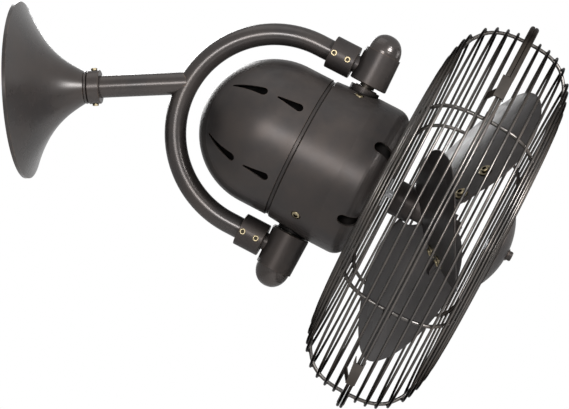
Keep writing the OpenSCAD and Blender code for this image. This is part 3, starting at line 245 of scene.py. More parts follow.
def math_node(tree, operation, first, second=None, clamp=False):
    """A Math node whose inputs are sockets or numbers; gives back its output."""
    node = add_node(tree, "ShaderNodeMath", operation=operation, use_clamp=clamp)
    for i, value in enumerate((first, second)):
        if value is None:
            continue
        if isinstance(value, (int, float)):
            node.inputs[i].default_value = value
        else:
            tree.links.new(value, node.inputs[i])
    return node.outputs[0]


def noise_value(tree, vector, scale, detail=2.0, roughness=0.5):
    """A noise texture at the given scale; gives back its value."""
    node = add_node(tree, "ShaderNodeTexNoise")
    node.inputs["Detail"].default_value = detail
    node.inputs["Roughness"].default_value = roughness
    tree.links.new(vector, node.inputs["Vector"])
    if isinstance(scale, (int, float)):
        node.inputs["Scale"].default_value = scale
    else:
        tree.links.new(scale, node.inputs["Scale"])
    return node.outputs["Fac"]


def mapped(tree, value, low, high, to_low=0.0, to_high=1.0):
    """Stretches the part of a value between low and high to a new range."""
    node = add_node(tree, "ShaderNodeMapRange", clamp=True)
    tree.links.new(value, node.inputs["Value"])
    for label, number in (("From Min", low), ("From Max", high),
                          ("To Min", to_low), ("To Max", to_high)):
        node.inputs[label].default_value = number
    return node.outputs["Result"]


def mixed_colour(tree, factor, first, second):
    """A colour Mix node; gives back its result."""
    node = add_node(tree, "ShaderNodeMix", data_type="RGBA")
    tree.links.new(factor, node.inputs["Factor"])
    for label, value in (("A", first), ("B", second)):
        socket = next(s for s in node.inputs if s.name == label and s.type == "RGBA")
        if isinstance(value, bpy.types.NodeSocket):
            tree.links.new(value, socket)
        else:
            socket.default_value = value
    return next(s for s in node.outputs if s.type == "RGBA")


def object_place(tree):
    """Coordinates that stay with the piece."""
    return add_node(tree, "ShaderNodeTexCoord").outputs["Object"]


def make_mottle():
    """Slow drift between two tones of a finish."""
    tree, given, result = new_group(
        "Finish mottle",
        [("Tone", "NodeSocketColor", (0.05, 0.05, 0.05, 1)),
         ("Second Tone", "NodeSocketColor", (0.06, 0.05, 0.04, 1)),
         ("Patch Size", "NodeSocketFloat", 0.03), ("Roughness", "NodeSocketFloat", 0.4),
         ("Roughness Spread", "NodeSocketFloat", 0.1)],
        [("Colour", "NodeSocketColor"), ("Roughness", "NodeSocketFloat")])
    place = object_place(tree)
    scale = math_node(tree, "DIVIDE", 1.0, given.outputs["Patch Size"])
    patches = mapped(tree, noise_value(tree, place, scale, 4.0, 0.6), 0.35, 0.65)
    tree.links.new(
        mixed_colour(tree, patches, given.outputs["Tone"], given.outputs["Second Tone"]),
        result.inputs["Colour"])
    fine = noise_value(tree, place, math_node(tree, "MULTIPLY", scale, 5.0), 3.0, 0.6)
    drift = math_node(tree, "ADD", patches, math_node(tree, "SUBTRACT", fine, 1.0))
    shift = math_node(tree, "MULTIPLY", drift, given.outputs["Roughness Spread"])
    tree.links.new(math_node(tree, "ADD", shift, given.outputs["Roughness"], clamp=True),
                   result.inputs["Roughness"])
    return tree


def make_grain():
    """Height of a sprayed or cast surface: soft orange peel with fine powder on it."""
    tree, given, result = new_group(
        "Surface grain",
        [("Grain Size", "NodeSocketFloat", 0.0006), ("Peel Size", "NodeSocketFloat", 0.004),
         ("Peel Share", "NodeSocketFloat", 0.5)],
        [("Height", "NodeSocketFloat")])
    place = object_place(tree)
    fine = noise_value(
        tree, place, math_node(tree, "DIVIDE", 1.0, given.outputs["Grain Size"]), 2.0)
    peel = noise_value(
        tree, place, math_node(tree, "DIVIDE", 1.0, given.outputs["Peel Size"]), 1.0)
    share = math_node(tree, "MULTIPLY", peel, given.outputs["Peel Share"])
    tree.links.new(math_node(tree, "ADD", fine, share), result.inputs["Height"])
    return tree


def make_edge_rub():
    """Mask of edges where a finish is rubbed through, broken up by noise."""
    tree, given, result = new_group(
        "Edge rub",
        [("Width", "NodeSocketFloat", 0.0006), ("Break-up Size", "NodeSocketFloat", 0.006),
         ("Strength", "NodeSocketFloat", 0.6)],
        [("Mask", "NodeSocketFloat")])
    bevel = add_node(tree, "ShaderNodeBevel", samples=4)
    tree.links.new(given.outputs["Width"], bevel.inputs["Radius"])
    plain = add_node(tree, "ShaderNodeNewGeometry").outputs["Normal"]
    compare = add_node(tree, "ShaderNodeVectorMath", operation="DOT_PRODUCT")
    tree.links.new(bevel.outputs[0], compare.inputs[0])
    tree.links.new(plain, compare.inputs[1])
    turned = mapped(tree, compare.outputs["Value"], 0.995, 0.9)
    scale = math_node(tree, "DIVIDE", 1.0, given.outputs["Break-up Size"])
    broken = mapped(tree, noise_value(tree, object_place(tree), scale, 3.0, 0.65), 0.38, 0.62)
    mask = math_node(tree, "MULTIPLY", turned, broken)
    tree.links.new(math_node(tree, "MULTIPLY", mask, given.outputs["Strength"], clamp=True),
                   result.inputs["Mask"])
    return tree


def make_recess_shade():
    """Mask of painted shade in sockets and corners, from how closed in a point is."""
    tree, given, result = new_group(
        "Recess painted shade",
        [("Reach", "NodeSocketFloat", 0.003), ("Strength", "NodeSocketFloat", 0.9)],
        [("Mask", "NodeSocketFloat")])
    # Ambient occlusion: the more closed in a point is, the more painted shade it gets.
    closed = add_node(tree, "ShaderNodeAmbientOcclusion", samples=8)
    tree.links.new(given.outputs["Reach"], closed.inputs["Distance"])
    mask = mapped(tree, closed.outputs["AO"], 0.85, 0.55)
    tree.links.new(math_node(tree, "MULTIPLY", mask, given.outputs["Strength"], clamp=True),
                   result.inputs["Mask"])
    return tree


def make_turning():
    """Height of fine tool lines about an axis, as a lathe leaves them."""
    tree, given, result = new_group(
        "Turning lines",
        [("Axis Point", "NodeSocketVector", (0, 0, 0)), ("Axis", "NodeSocketVector", (1, 0, 0)),
         ("Pitch", "NodeSocketFloat", 0.0005), ("Waver", "NodeSocketFloat", 0.5)],
        [("Height", "NodeSocketFloat")])
    place = object_place(tree)
    reach = add_node(tree, "ShaderNodeVectorMath", operation="SUBTRACT")
    tree.links.new(place, reach.inputs[0])
    tree.links.new(given.outputs["Axis Point"], reach.inputs[1])
    along = add_node(tree, "ShaderNodeVectorMath", operation="DOT_PRODUCT")
    tree.links.new(reach.outputs[0], along.inputs[0])
    tree.links.new(given.outputs["Axis"], along.inputs[1])
    across = add_node(tree, "ShaderNodeVectorMath", operation="CROSS_PRODUCT")
    tree.links.new(reach.outputs[0], across.inputs[0])
    tree.links.new(given.outputs["Axis"], across.inputs[1])
    span = add_node(tree, "ShaderNodeVectorMath", operation="LENGTH")
    tree.links.new(across.outputs[0], span.inputs[0])
    path = math_node(tree, "ADD", along.outputs["Value"], span.outputs["Value"])
    waver = math_node(tree, "MULTIPLY", noise_value(tree, place, 60.0, 1.0),
                      math_node(tree, "MULTIPLY", given.outputs["Pitch"], given.outputs["Waver"]))
    steps = math_node(tree, "DIVIDE", math_node(tree, "ADD", path, waver), given.outputs["Pitch"])
    lines = add_node(tree, "ShaderNodeTexNoise", noise_dimensions="1D")
    lines.inputs["Scale"].default_value = 1.0
    lines.inputs["Detail"].default_value = 2.0
    tree.links.new(steps, lines.inputs["W"])
    tree.links.new(lines.outputs["Fac"], result.inputs["Height"])
    return tree


def make_dust():
    """Mask of thin dust that settles on surfaces facing up."""
    tree, given, result = new_group(
        "Settled dust",
        [("Amount", "NodeSocketFloat", 0.1), ("Patch Size", "NodeSocketFloat", 0.01)],
        [("Mask", "NodeSocketFloat")])
    normal = add_node(tree, "ShaderNodeNewGeometry").outputs["Normal"]
    split = add_node(tree, "ShaderNodeSeparateXYZ")
    tree.links.new(normal, split.inputs[0])
    facing = mapped(tree, split.outputs["Z"], 0.35, 0.95)
    scale = math_node(tree, "DIVIDE", 1.0, given.outputs["Patch Size"])
    patches = mapped(tree, noise_value(tree, object_place(tree), scale, 4.0, 0.7), 0.4, 0.7)
    mask = math_node(tree, "MULTIPLY", facing, patches)
    tree.links.new(math_node(tree, "MULTIPLY", mask, given.outputs["Amount"], clamp=True),
                   result.inputs["Mask"])
    return tree


def shared_group(name, maker):
    """The named node group, made on its first use."""
    return bpy.data.node_groups.get(name) or maker()


def place_group(tree, name, maker, **values):
    """Puts a shared group in a material and sets its inputs."""
    node = add_node(tree, "ShaderNodeGroup", node_tree=shared_group(name, maker))
    for label, value in values.items():
        node.inputs[label.replace("_", " ")].default_value = value
    return node


def new_material(name):
    """An empty material with its Principled shader."""
    material = bpy.data.materials.new(name)
    material.use_nodes = True
    tree = material.node_tree
    tree.nodes.clear()
    shader = tree.nodes.new("ShaderNodeBsdfPrincipled")
    output = tree.nodes.new("ShaderNodeOutputMaterial")
    tree.links.new(shader.outputs[0], output.inputs["Surface"])
    return material, tree, shader


def raise_height(tree, shader, height, distance):
    """Feeds a height through a Bump node to the shader."""
    bump = add_node(tree, "ShaderNodeBump")
    bump.inputs["Distance"].default_value = distance
    bump.inputs["Strength"].default_value = 1.0
    tree.links.new(height, bump.inputs["Height"])
    tree.links.new(bump.outputs["Normal"], shader.inputs["Normal"])


def bronze_paint(name, tone, cast, rubbed, roughness=0.38, edge=0.5, patch=0.035,
                 grain_depth=0.00001, specular=0.22, recess_shade=0.0, metallic=0.5):
    """Satin bronze paint: mottled tone, fine powder grain, rubbed edges, a trace of dust and, where
    a reach is given, painted shade in recesses.
    """
    material, tree, shader = new_material(name)
    mottle = place_group(tree, "Finish mottle", make_mottle, Tone=tone, Second_Tone=cast,
                         Patch_Size=patch, Roughness=roughness, Roughness_Spread=0.05)
    edges = place_group(tree, "Edge rub", make_edge_rub, Width=0.0007, Strength=edge)
    dust = place_group(tree, "Settled dust", make_dust, Amount=0.05)
    painted = mixed_colour(tree, edges.outputs["Mask"], mottle.outputs["Colour"], rubbed)
    dusty = mixed_colour(tree, dust.outputs["Mask"], painted, DUST_COLOUR)
    tree.links.new(dusty, shader.inputs["Base Color"])
    tree.links.new(mottle.outputs["Roughness"], shader.inputs["Roughness"])
    shader.inputs["Specular IOR Level"].default_value = specular
    shader.inputs["Metallic"].default_value = metallic
    shader.inputs["Specular Tint"].default_value = (0.3, 0.3, 0.3, 1)
    # Painted shade: occluded recesses turn near black and lose their specular reflection.
    if recess_shade:
        closed = place_group(tree, "Recess painted shade", make_recess_shade, Reach=recess_shade, Strength=1.0)
        tree.links.new(mixed_colour(tree, closed.outputs["Mask"], dusty, PAINT_RECESS_SHADE),
                       shader.inputs["Base Color"])
        open_share = math_node(tree, "SUBTRACT", 1.0, closed.outputs["Mask"])
        tree.links.new(math_node(tree, "MULTIPLY", open_share, specular),
                       shader.inputs["Specular IOR Level"])
    grain = place_group(tree, "Surface grain", make_grain)
    raise_height(tree, shader, grain.outputs["Height"], grain_depth)
    return material


def bare_metal(name, tone, second, roughness, axis_point, axis, pitch=0.0005, depth=0.00002,
               recess_shade_strength=0.0):
    """Bare metal with turning lines, a slow drift of tone and painted shade in its recesses."""
    material, tree, shader = new_material(name)
    mottle = place_group(tree, "Finish mottle", make_mottle, Tone=tone, Second_Tone=second,
                         Patch_Size=0.012, Roughness=roughness, Roughness_Spread=0.12)
    colour = mottle.outputs["Colour"]
    # Painted shade: occluded recesses darken towards near black.
    if recess_shade_strength:
        recess_shade = place_group(tree, "Recess painted shade", make_recess_shade, Reach=0.006, Strength=recess_shade_strength)
        colour = mixed_colour(tree, recess_shade.outputs["Mask"], colour, METAL_RECESS_SHADE)
    tree.links.new(colour, shader.inputs["Base Color"])
    tree.links.new(mottle.outputs["Roughness"], shader.inputs["Roughness"])
    shader.inputs["Metallic"].default_value = 1.0
    lines = place_group(tree, "Turning lines", make_turning, Axis_Point=axis_point, Axis=axis,
                        Pitch=pitch)
    raise_height(tree, shader, lines.outputs["Height"], depth)
    return material


def wire_lacquer(name, tone, second, edge_tint, roughness=0.3):
    """Smooth dark lacquer over steel wire: a keen bright core between dark edges."""
    material, tree, shader = new_material(name)
    mottle = place_group(tree, "Finish mottle", make_mottle, Tone=tone, Second_Tone=second,
                         Patch_Size=0.03, Roughness=roughness, Roughness_Spread=0.06)
    tree.links.new(mottle.outputs["Colour"], shader.inputs["Base Color"])
    tree.links.new(mottle.outputs["Roughness"], shader.inputs["Roughness"])
    shader.inputs["Metallic"].default_value = 1.0
    shader.inputs["Specular Tint"].default_value = edge_tint
    grain = place_group(tree, "Surface grain", make_grain)
    raise_height(tree, shader, grain.outputs["Height"], 0.000005)
    return material


def moulded_plastic(name, tone, second, roughness=0.45):
    """Moulded plastic with a spark-eroded grain."""
    material, tree, shader = new_material(name)
    mottle = place_group(tree, "Finish mottle", make_mottle, Tone=tone, Second_Tone=second,
                         Patch_Size=0.02, Roughness=roughness, Roughness_Spread=0.08)
    tree.links.new(mottle.outputs["Colour"], shader.inputs["Base Color"])
    tree.links.new(mottle.outputs["Roughness"], shader.inputs["Roughness"])
    grain = place_group(tree, "Surface grain", make_grain, Grain_Size=0.0004)
    raise_height(tree, shader, grain.outputs["Height"], 0.00004)
    return material


def shaded(colour, factor):
    """A colour made lighter or darker."""
    return (*(min(1.0, c * factor) for c in colour[:3]), 1)


def finish(name):
    """A finish by its name, made on its first use from the colours of the panel."""
    known = bpy.data.materials.get(name)
    if known:
        return known
    colours = bpy.context.scene.fan_finish
    bronze, umber, rubbed = (tuple(c) for c in (colours.bronze, colours.umber, colours.rubbed))
    brass, steel, copper = (tuple(c) for c in (colours.brass, colours.steel, colours.copper))
    head = tuple(HEAD_ORIGIN), tuple(HEAD_AXIS)
    pivot = tuple(fan_point(61.2, 0, 0)), tuple(HEAD_UP)
    wall = (0, 0, 0), tuple(WALL_AXIS)
    makers = {
        # The housing gets painted shade in its corners and recesses.
        "Bronze_housing": lambda: bronze_paint(name, bronze, umber, rubbed, recess_shade=0.012),
        "Bronze_plate": lambda: bronze_paint(name, shaded(bronze, 0.9), shaded(umber, 0.9),
                                             rubbed),
        "Bronze_arm": lambda: bronze_paint(name, bronze, umber, rubbed, roughness=0.27,
                                           patch=0.05, specular=0.8),
        "Bronze_canopy": lambda: bronze_paint(name, shaded(bronze, 0.75), shaded(umber, 0.75),
                                              rubbed, roughness=0.28, patch=0.05, edge=0.7,
                                              specular=0.6, metallic=0.2),
        "Bronze_wire": lambda: wire_lacquer(name, (0.058, 0.055, 0.053, 1),
                                            (0.074, 0.066, 0.06, 1), (0.12, 0.12, 0.12, 1)),
        "Bronze_blade": lambda: bronze_paint(name, shaded(bronze, 0.75), shaded(bronze, 1.1),
                                             rubbed, roughness=0.34, edge=0.6, patch=0.04,
                                             grain_depth=0.000002, specular=0.3, metallic=0.3),
        "Bronze_fitting": lambda: wire_lacquer(name, (0.066, 0.06, 0.055, 1),
                                               (0.084, 0.074, 0.065, 1),
                                               (0.15, 0.15, 0.15, 1), roughness=0.38),
        "Bronze_cap": lambda: bronze_paint(name, bronze, umber, rubbed, roughness=0.22,
                                           patch=0.03, grain_depth=0.000004, specular=0.9),
        # The inner cup is painted near black and almost unreflective to stand for the shade seen
        # through the vents.
        "Painted_shade_inside": lambda: bronze_paint(name, shaded(bronze, 0.12), shaded(bronze, 0.16),
                                            shaded(bronze, 0.2), roughness=0.8, edge=0.0,
                                            specular=0.03),
        # Screw sockets and the corners round the washers get painted shade.
        "Brass_screw": lambda: bare_metal(name, shaded(brass, 0.3), shaded(brass, 0.4), 0.42, *head,
                                          recess_shade_strength=0.95),
        "Brass_washer": lambda: bare_metal(name, shaded(brass, 0.28), shaded(brass, 0.4), 0.36,
                                           *head, pitch=0.0009, depth=0.00006, recess_shade_strength=0.7),
        "Blackened_pin": lambda: bare_metal(name, (0.02, 0.018, 0.016, 1),
                                            (0.03, 0.026, 0.022, 1), 0.4, *pivot),
        "Steel_wall": lambda: bare_metal(name, steel, shaded(steel, 1.2), 0.36, *wall,
                                         pitch=0.0008),
        "Steel_pivot": lambda: bare_metal(name, steel, shaded(steel, 1.2), 0.34, *pivot),
        "Steel_motor": lambda: bare_metal(name, shaded(steel, 0.8), steel, 0.38, *head),
        "Steel_stack": lambda: bare_metal(name, shaded(steel, 0.45), shaded(steel, 0.7), 0.45,
                                          *head, pitch=0.001, depth=0.0003),
        "Cast_alloy": lambda: bare_metal(name, shaded(steel, 0.9), shaded(steel, 1.1), 0.5,
                                         *head, pitch=0.003, depth=0.00004),
        "Copper_winding": lambda: bare_metal(name, copper, shaded(copper, 1.3), 0.35, *head,
                                             pitch=0.0012, depth=0.0004),
        "Brass_gear": lambda: bare_metal(name, brass, shaded(brass, 1.2), 0.3, *pivot),
        "Black_resin": lambda: moulded_plastic(name, (0.02, 0.02, 0.021, 1),
                                               (0.028, 0.027, 0.027, 1)),
    }
    return makers[name]()


def dress(material_name, *nodes):
    """Puts a finish in every slot of the named CAD nodes."""
    material = finish(material_name)
    for node in nodes:
        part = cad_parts[node]
        if not part.material_slots:
            part.data.materials.append(material)
        for slot in part.material_slots:
            slot.material = material


class FAN_OT_paint_mount(Operator):
    """Paint the canopy, the arm and the yoke with its collars and pivots"""

    bl_idname = "fan.paint_mount"
    bl_label = "Paint the mount"

    def execute(self, context):
        dress("Bronze_canopy", "canopy_bell", "canopy_bead")
        dress("Bronze_arm", "arm_tube", "canopy_collar", "yoke_tube")
        dress("Bronze_plate", "clamp_collars", "upper_pivot_housing", "lower_pivot_housing")
        dress("Bronze_cap", "dome_caps")
        return {"FINISHED"}


class FAN_OT_paint_head(Operator):
    """Paint the motor housing and the plates and cap of the guard"""

    bl_idname = "fan.paint_head"
    bl_label = "Paint the head"

    def execute(self, context):
        dress("Bronze_housing", "rear_cover", "seam_ring", "front_housing", "pivot_bosses")
        dress("Bronze_plate", "blade_hub", "hub_nut", "rear_guard_plate",
              "front_guard_plate", "front_cap", "cap_nut")
        dress("Bronze_fitting", "clasp_plates")
        dress("Bronze_blade", "blade_arms")
        # The inner cup gets a near-black painted shade.
        dress("Painted_shade_inside", "inner_cup")
        return {"FINISHED"}


class FAN_OT_finish_metals(Operator):
    """Finish the screws, pins, bushes and gears and the parts inside the motor"""

    bl_idname = "fan.finish_metals"
    bl_label = "Finish the bare metals"

    def execute(self, context):
        dress("Brass_screw", "clamp_screws", "housing_screws", "blade_screws")
        dress("Brass_washer", "blade_washers")
        dress("Brass_gear", "drive_pinion")
        dress("Blackened_pin", "upper_pivot_pin", "lower_pivot_pin", "pivot_bushes",
              "guard_nut")
        dress("Steel_wall", "wall_plate", "arm_socket", "stop_screws")
        dress("Steel_pivot", "pin_nuts", "sector_gear", "boss_sleeves", "boss_locknuts")
        dress("Steel_motor", "motor_shaft", "shaft_bearings", "drive_bracket", "drive_motor",
              "cap_stud")
        dress("Steel_stack", "stator_core", "rotor")
        dress("Cast_alloy", "motor_frame", "motor_rear_bell", "motor_front_bell")
        dress("Copper_winding", "stator_windings")
        dress("Black_resin", "capacitor")
        return {"FINISHED"}


GUARD_R, GUARD_HALF = 201.9, 66.5
FACE_POWER, SIDE_POWER = 7.4, 2.64
SIDE_RINGS, REAR_FACE_RINGS, FRONT_FACE_RINGS = 5, 8, 11
SIDE_RING_START, SIDE_RING_PITCH = 12.1, 10.7
FACE_RING_START, FACE_RING_PITCH = 161, 11
CORNER_SHIFT = 1.5
RIB_ANGLES = [33.9 + 60 * k for k in range(6)]
RIB_FOOT = ((0.2, 4.3), (0.5, 2), (1.8, 0.5), (4.1, 0))
RIB_WELD, RIB_GAP = 0.12, 0.3
REAR_PLATE_R, FRONT_PLATE_R = 62, 42
REAR_PLATE_STATION = 119.5
PLATE_MARGIN, PLATE_OVERLAP = 6, 20
RIM_R, RIM_GAP = 211.0, 0.5
SADDLE_TOP, SADDLE_HALF = 90, 24
SADDLE_END = 46.8


def ring_radius(offset):
    """Radius of the guard shape at an offset from the rim plane, in millimetres."""
    return GUARD_R * (1 - (offset / GUARD_HALF) ** SIDE_POWER) ** (1 / FACE_POWER)


def ring_offset(radius):
    """Offset of the guard shape from the rim plane at a radius, in millimetres."""
    return GUARD_HALF * (1 - (radius / GUARD_R) ** FACE_POWER) ** (1 / SIDE_POWER)


def side_stops():
    """Touch of each side ring and of the corner ring, as radius and offset."""
    offsets = [SIDE_RING_START + SIDE_RING_PITCH * i for i in range(SIDE_RINGS)]
    stops = [(ring_radius(offset), offset) for offset in offsets]
    corner = (stops[-1][0] + FACE_RING_START) / 2 + CORNER_SHIFT
    return stops + [(corner, ring_offset(corner))]


def face_stops(count):
    """Touch of each face ring, from the outside in, as radius and offset."""
    radii = [FACE_RING_START - FACE_RING_PITCH * i for i in range(count)]
    return [(radius, ring_offset(radius)) for radius in radii]


def moved_in(stop, depth):
    """A stop moved inward, square to the guard shape, by a depth in millimetres."""
    a = FACE_POWER * (stop[0] / GUARD_R) ** (FACE_POWER - 1) / GUARD_R
    b = SIDE_POWER * (stop[1] / GUARD_HALF) ** (SIDE_POWER - 1) / GUARD_HALF
    size = math.hypot(a, b)
    return stop[0] - depth * a / size, stop[1] - depth * b / size


def curve_through(points, steps=5):
    """A smooth curve through flat points, as a list of flat points."""
    result = []
    last = len(points) - 1
    for i in range(last):
        p0, p1 = Vector(points[max(i - 1, 0)]), Vector(points[i])
        p2, p3 = Vector(points[i + 1]), Vector(points[min(i + 2, last)])
        m1 = (p2 - p0) / 2
        m2 = (p3 - p1) / 2
        limit = (p2 - p1).length
        m1, m2 = (m * min(1, limit / m.length) if m.length else m for m in (m1, m2))
        for j in range(steps):
            t = j / steps
            result.append(
                p1 * (2 * t ** 3 - 3 * t ** 2 + 1) + m1 * (t ** 3 - 2 * t ** 2 + t)
                + p2 * (3 * t ** 2 - 2 * t ** 3) + m2 * (t ** 3 - t ** 2))
    return result + [Vector(points[-1])]


def plate_radius(side):
    """Radius of the hub plate that carries the inner ends of the ribs, in millimetres."""
    return REAR_PLATE_R if side == REAR else FRONT_PLATE_R


def rib_route(side, sizes):
    """Centre line of a rib as radius and station, from the hub plate to the rim."""
    ring, rib, rim = sizes.ring_wire / MM, sizes.rib_wire / MM, sizes.rim_wire / MM
    inner = plate_radius(side)
    if side == REAR:
        offset = RIM_STATION - REAR_PLATE_STATION - rib
    else:
        offset = GUARD_HALF - 2 * ring - rib + RIB_WELD
    depth = 2 * ring + rib - RIB_WELD
    stops = [s for s in reversed(face_stops(FRONT_FACE_RINGS)) if s[0] > inner + PLATE_MARGIN]
    stops += reversed(side_stops()[:-1] + [side_stops()[-1]])
    foot = rib + RIB_GAP
    low = moved_in(side_stops()[0], depth)[0]
    route = [(inner - PLATE_OVERLAP, offset), (inner, offset)]
    route += [moved_in(s, depth) for s in stops]
    route += [(low + a, foot + b) for a, b in RIB_FOOT]
    route += [(RIM_R - rim + RIB_WELD, foot)]
    return [(r, RIM_STATION + side * d) for r, d in route]


def bead_mesh(bm, centre, along, across, out, sizes):
    """A flattened weld bead at a crossing of two wires."""
    rows = []
    rings, turns = 5, 10
    ends = [bm.verts.new(centre + along * sizes[0] * e) for e in (-1, 1)]
    for i in range(1, rings):
        f = math.pi * i / rings
        rows.append([
            bm.verts.new(centre - along * sizes[0] * math.cos(f)
                         + (across * sizes[1] * math.cos(g) + out * sizes[2] * math.sin(g))
                         * math.sin(f))
            for g in (math.tau * j / turns for j in range(turns))])
    grid_faces(bm, rows, close_columns=True)
    for end, row in ((ends[0], rows[0]), (ends[1], rows[-1])):
        for j in range(turns):
            bm.faces.new((end, row[j], row[(j + 1) % turns]))


class FAN_OT_build_guard_rings(Operator):
    """Build the ring wires of both halves of the guard"""

    bl_idname = "fan.build_guard_rings"
    bl_label = "Build the guard rings"

    def execute(self, context):
        sizes = context.scene.fan_guard
        steps = sizes.ring_steps
        wire = finish("Bronze_wire")
        for side, word, count in ((REAR, "rear", REAR_FACE_RINGS),
                                  (FRONT, "front", FRONT_FACE_RINGS)):
            bm = bmesh.new()
            for stop in side_stops():
                radius, offset = moved_in(stop, sizes.ring_wire / MM)
                wire_circle(bm, radius, RIM_STATION + side * offset, sizes.ring_wire, steps)
            rim = RIM_STATION + side * (RIM_GAP / 2 + sizes.rim_wire / MM)
            wire_circle(bm, RIM_R, rim, sizes.rim_wire, steps)
            node = f"{word}_guard_side_rings"
            finish_piece(bm, f"{word}_side_wires", wire, "head", [node])
            bm = bmesh.new()
            for stop in face_stops(count):
                radius, offset = moved_in(stop, sizes.ring_wire / MM)
                wire_circle(bm, radius, RIM_STATION + side * offset, sizes.ring_wire, steps)
            node = f"{word}_guard_face_rings"
            finish_piece(bm, f"{word}_face_wires", wire, "head", [node])
        return {"FINISHED"}


class FAN_OT_build_guard_ribs(Operator):
    """Build the ribs of the guard and the weld beads where the rings cross them"""

    bl_idname = "fan.build_guard_ribs"
    bl_label = "Build the guard ribs"

    def execute(self, context):
        sizes = context.scene.fan_guard
        wire = finish("Bronze_wire")
        for side, word, count in ((REAR, "rear", REAR_FACE_RINGS),
                                  (FRONT, "front", FRONT_FACE_RINGS)):
            node = f"{word}_guard_ribs"
            route = curve_through(rib_route(side, sizes))
            bm = bmesh.new()
            for angle in RIB_ANGLES:
                path = [at_angle(angle, p[1], 0, p[0]) for p in route]
                sweep_wire(bm, path, sizes.rib_wire, radial_axes(angle)[0], sides=12)
            finish_piece(bm, f"{word}_rib_wires", wire, "head", [node])
            bm = bmesh.new()
            clear = plate_radius(side) + PLATE_MARGIN
            stops = [s for s in side_stops() + face_stops(count) if s[0] > clear]
            for angle in RIB_ANGLES:
                tangent, radial = radial_axes(angle)
                for stop in stops:
                    near, far = moved_in(stop, 2 * sizes.ring_wire / MM), moved_in(stop, 0)
                    centre = at_angle(angle, RIM_STATION + side * near[1], 0, near[0])
                    out = (radial * (far[0] - near[0])
                           + HEAD_AXIS * side * (far[1] - near[1])).normalized()
                    along = tangent.cross(out)
                    bead = sizes.weld_bead
                    bead_mesh(bm, centre, along, tangent, out, (bead, bead, 0.5 * bead))
            finish_piece(bm, f"{word}_weld_beads", wire, "head")
        return {"FINISHED"}


BLADE_ANGLES = {1: 0.6 + 120, 2: 0.6 - 120, 3: 0.6}
BLADE_MID, BLADE_HALF, BLADE_HALF_WIDTH = 87.7, 92, 68.5
BLADE_STATION, BLADE_RAKE, BLADE_CAMBER = 187.3, 0.248, 0.0024
PITCH_ROOT, PITCH_TIP, PITCH_START, PITCH_REACH = 36.3, 30.7, 40, 125
BLADE_EGG, BLADE_SKEW, TIP_ROUND, ROOT_ROUND = 0.032, 9.5, 0.94, 1.17
HUB_NOTCH = 19


def blade_point(u, v, w):
    """A point of the blade surface in the frame of its angle: station, tangent and radius."""
    pitch = -math.radians(PITCH_ROOT + (PITCH_TIP - PITCH_ROOT) * (u - PITCH_START) / PITCH_REACH)
    offset = w + BLADE_CAMBER * v * v
    station = (BLADE_STATION + BLADE_RAKE * (u - 100) + v * math.sin(pitch)
               + offset * math.cos(pitch))
    return station, v * math.cos(pitch) - offset * math.sin(pitch), u


def blade_outline(count):
    """The outline of a blade as flat points out from the axis and across, notched at the hub."""
    points = []
    for i in range(count):
        c, s = math.cos(math.tau * i / count), math.sin(math.tau * i / count)
        bow = math.copysign(abs(s) ** (TIP_ROUND if c > 0 else ROOT_ROUND), s)
        v = BLADE_HALF_WIDTH * (1 - BLADE_EGG * c) * bow + BLADE_SKEW * c
        q = abs(v) * math.cos(math.radians(PITCH_ROOT))
        notch = math.sqrt(HUB_NOTCH ** 2 - q * q) if q < HUB_NOTCH else -HUB_NOTCH
        points.append((max(BLADE_MID + BLADE_HALF * c, notch), v))
    return points


def saddle_profile(wire, shrink):
    """The closed outline of the saddle across the rim, its outer face in by shrink."""
    sheet, air, skirt, groove = 1.1, 0.06, 3.6, 0.6
    lobe = RIM_GAP / 2 + wire
    outer, inner = wire + air + sheet, wire + air
    dip = math.degrees(math.asin(lobe / outer))
    crown = math.sqrt((outer - shrink) ** 2 - lobe ** 2)
    profile = []
    for reach, past, middle, turn in ((outer - shrink, dip, crown - groove, 1),
                                      (inner, 40, 0.9, -1)):
        path = [(-lobe - reach, -skirt)]
        path += [(-lobe + reach * math.cos(math.radians(f)), reach * math.sin(math.radians(f)))
                 for f in (180 - (90 + past) * j / 12 for j in range(12))]
        path.append((0, middle))
        path += [(-x, z) for x, z in reversed(path[:-1])]
        profile += path[::turn]
    return profile


class FAN_OT_build_saddle(Operator):
    """Build the channel that straddles both rim wires, from past the top down to the clasp"""

    bl_idname = "fan.build_saddle"
    bl_label = "Build the rim saddle"

    def execute(self, context):
        wire = context.scene.fan_guard.rim_wire / MM
        bm = bmesh.new()
        rows = []
        ends = ((0, 0.45), (0.35, 0.2), (1.1, 0.05), (2.2, 0))
        plain, steps = 3, 60
        first, last = SADDLE_END, SADDLE_TOP + SADDLE_HALF
        angles = [(first + a, b) for a, b in ends]
        angles += [(first + plain + (last - first - 2 * plain) * i / steps, 0)
                   for i in range(steps + 1)]
        angles += [(last - a, b) for a, b in reversed(ends)]
        for angle, shrink in angles:
            rows.append([bm.verts.new(at_angle(angle, RIM_STATION + x, 0, RIM_R + z))
                         for x, z in saddle_profile(wire, shrink)])
        grid_faces(bm, rows, close_columns=True)
        half = len(rows[0]) // 2
        for row in (rows[0], rows[-1]):
            for j in range(half - 1):
                bm.faces.new((row[j], row[j + 1], row[-2 - j], row[-1 - j]))
        finish_piece(bm, "rim_saddle_channel", finish("Bronze_fitting"), "head",
                     ["rim_saddle"])
        return {"FINISHED"}


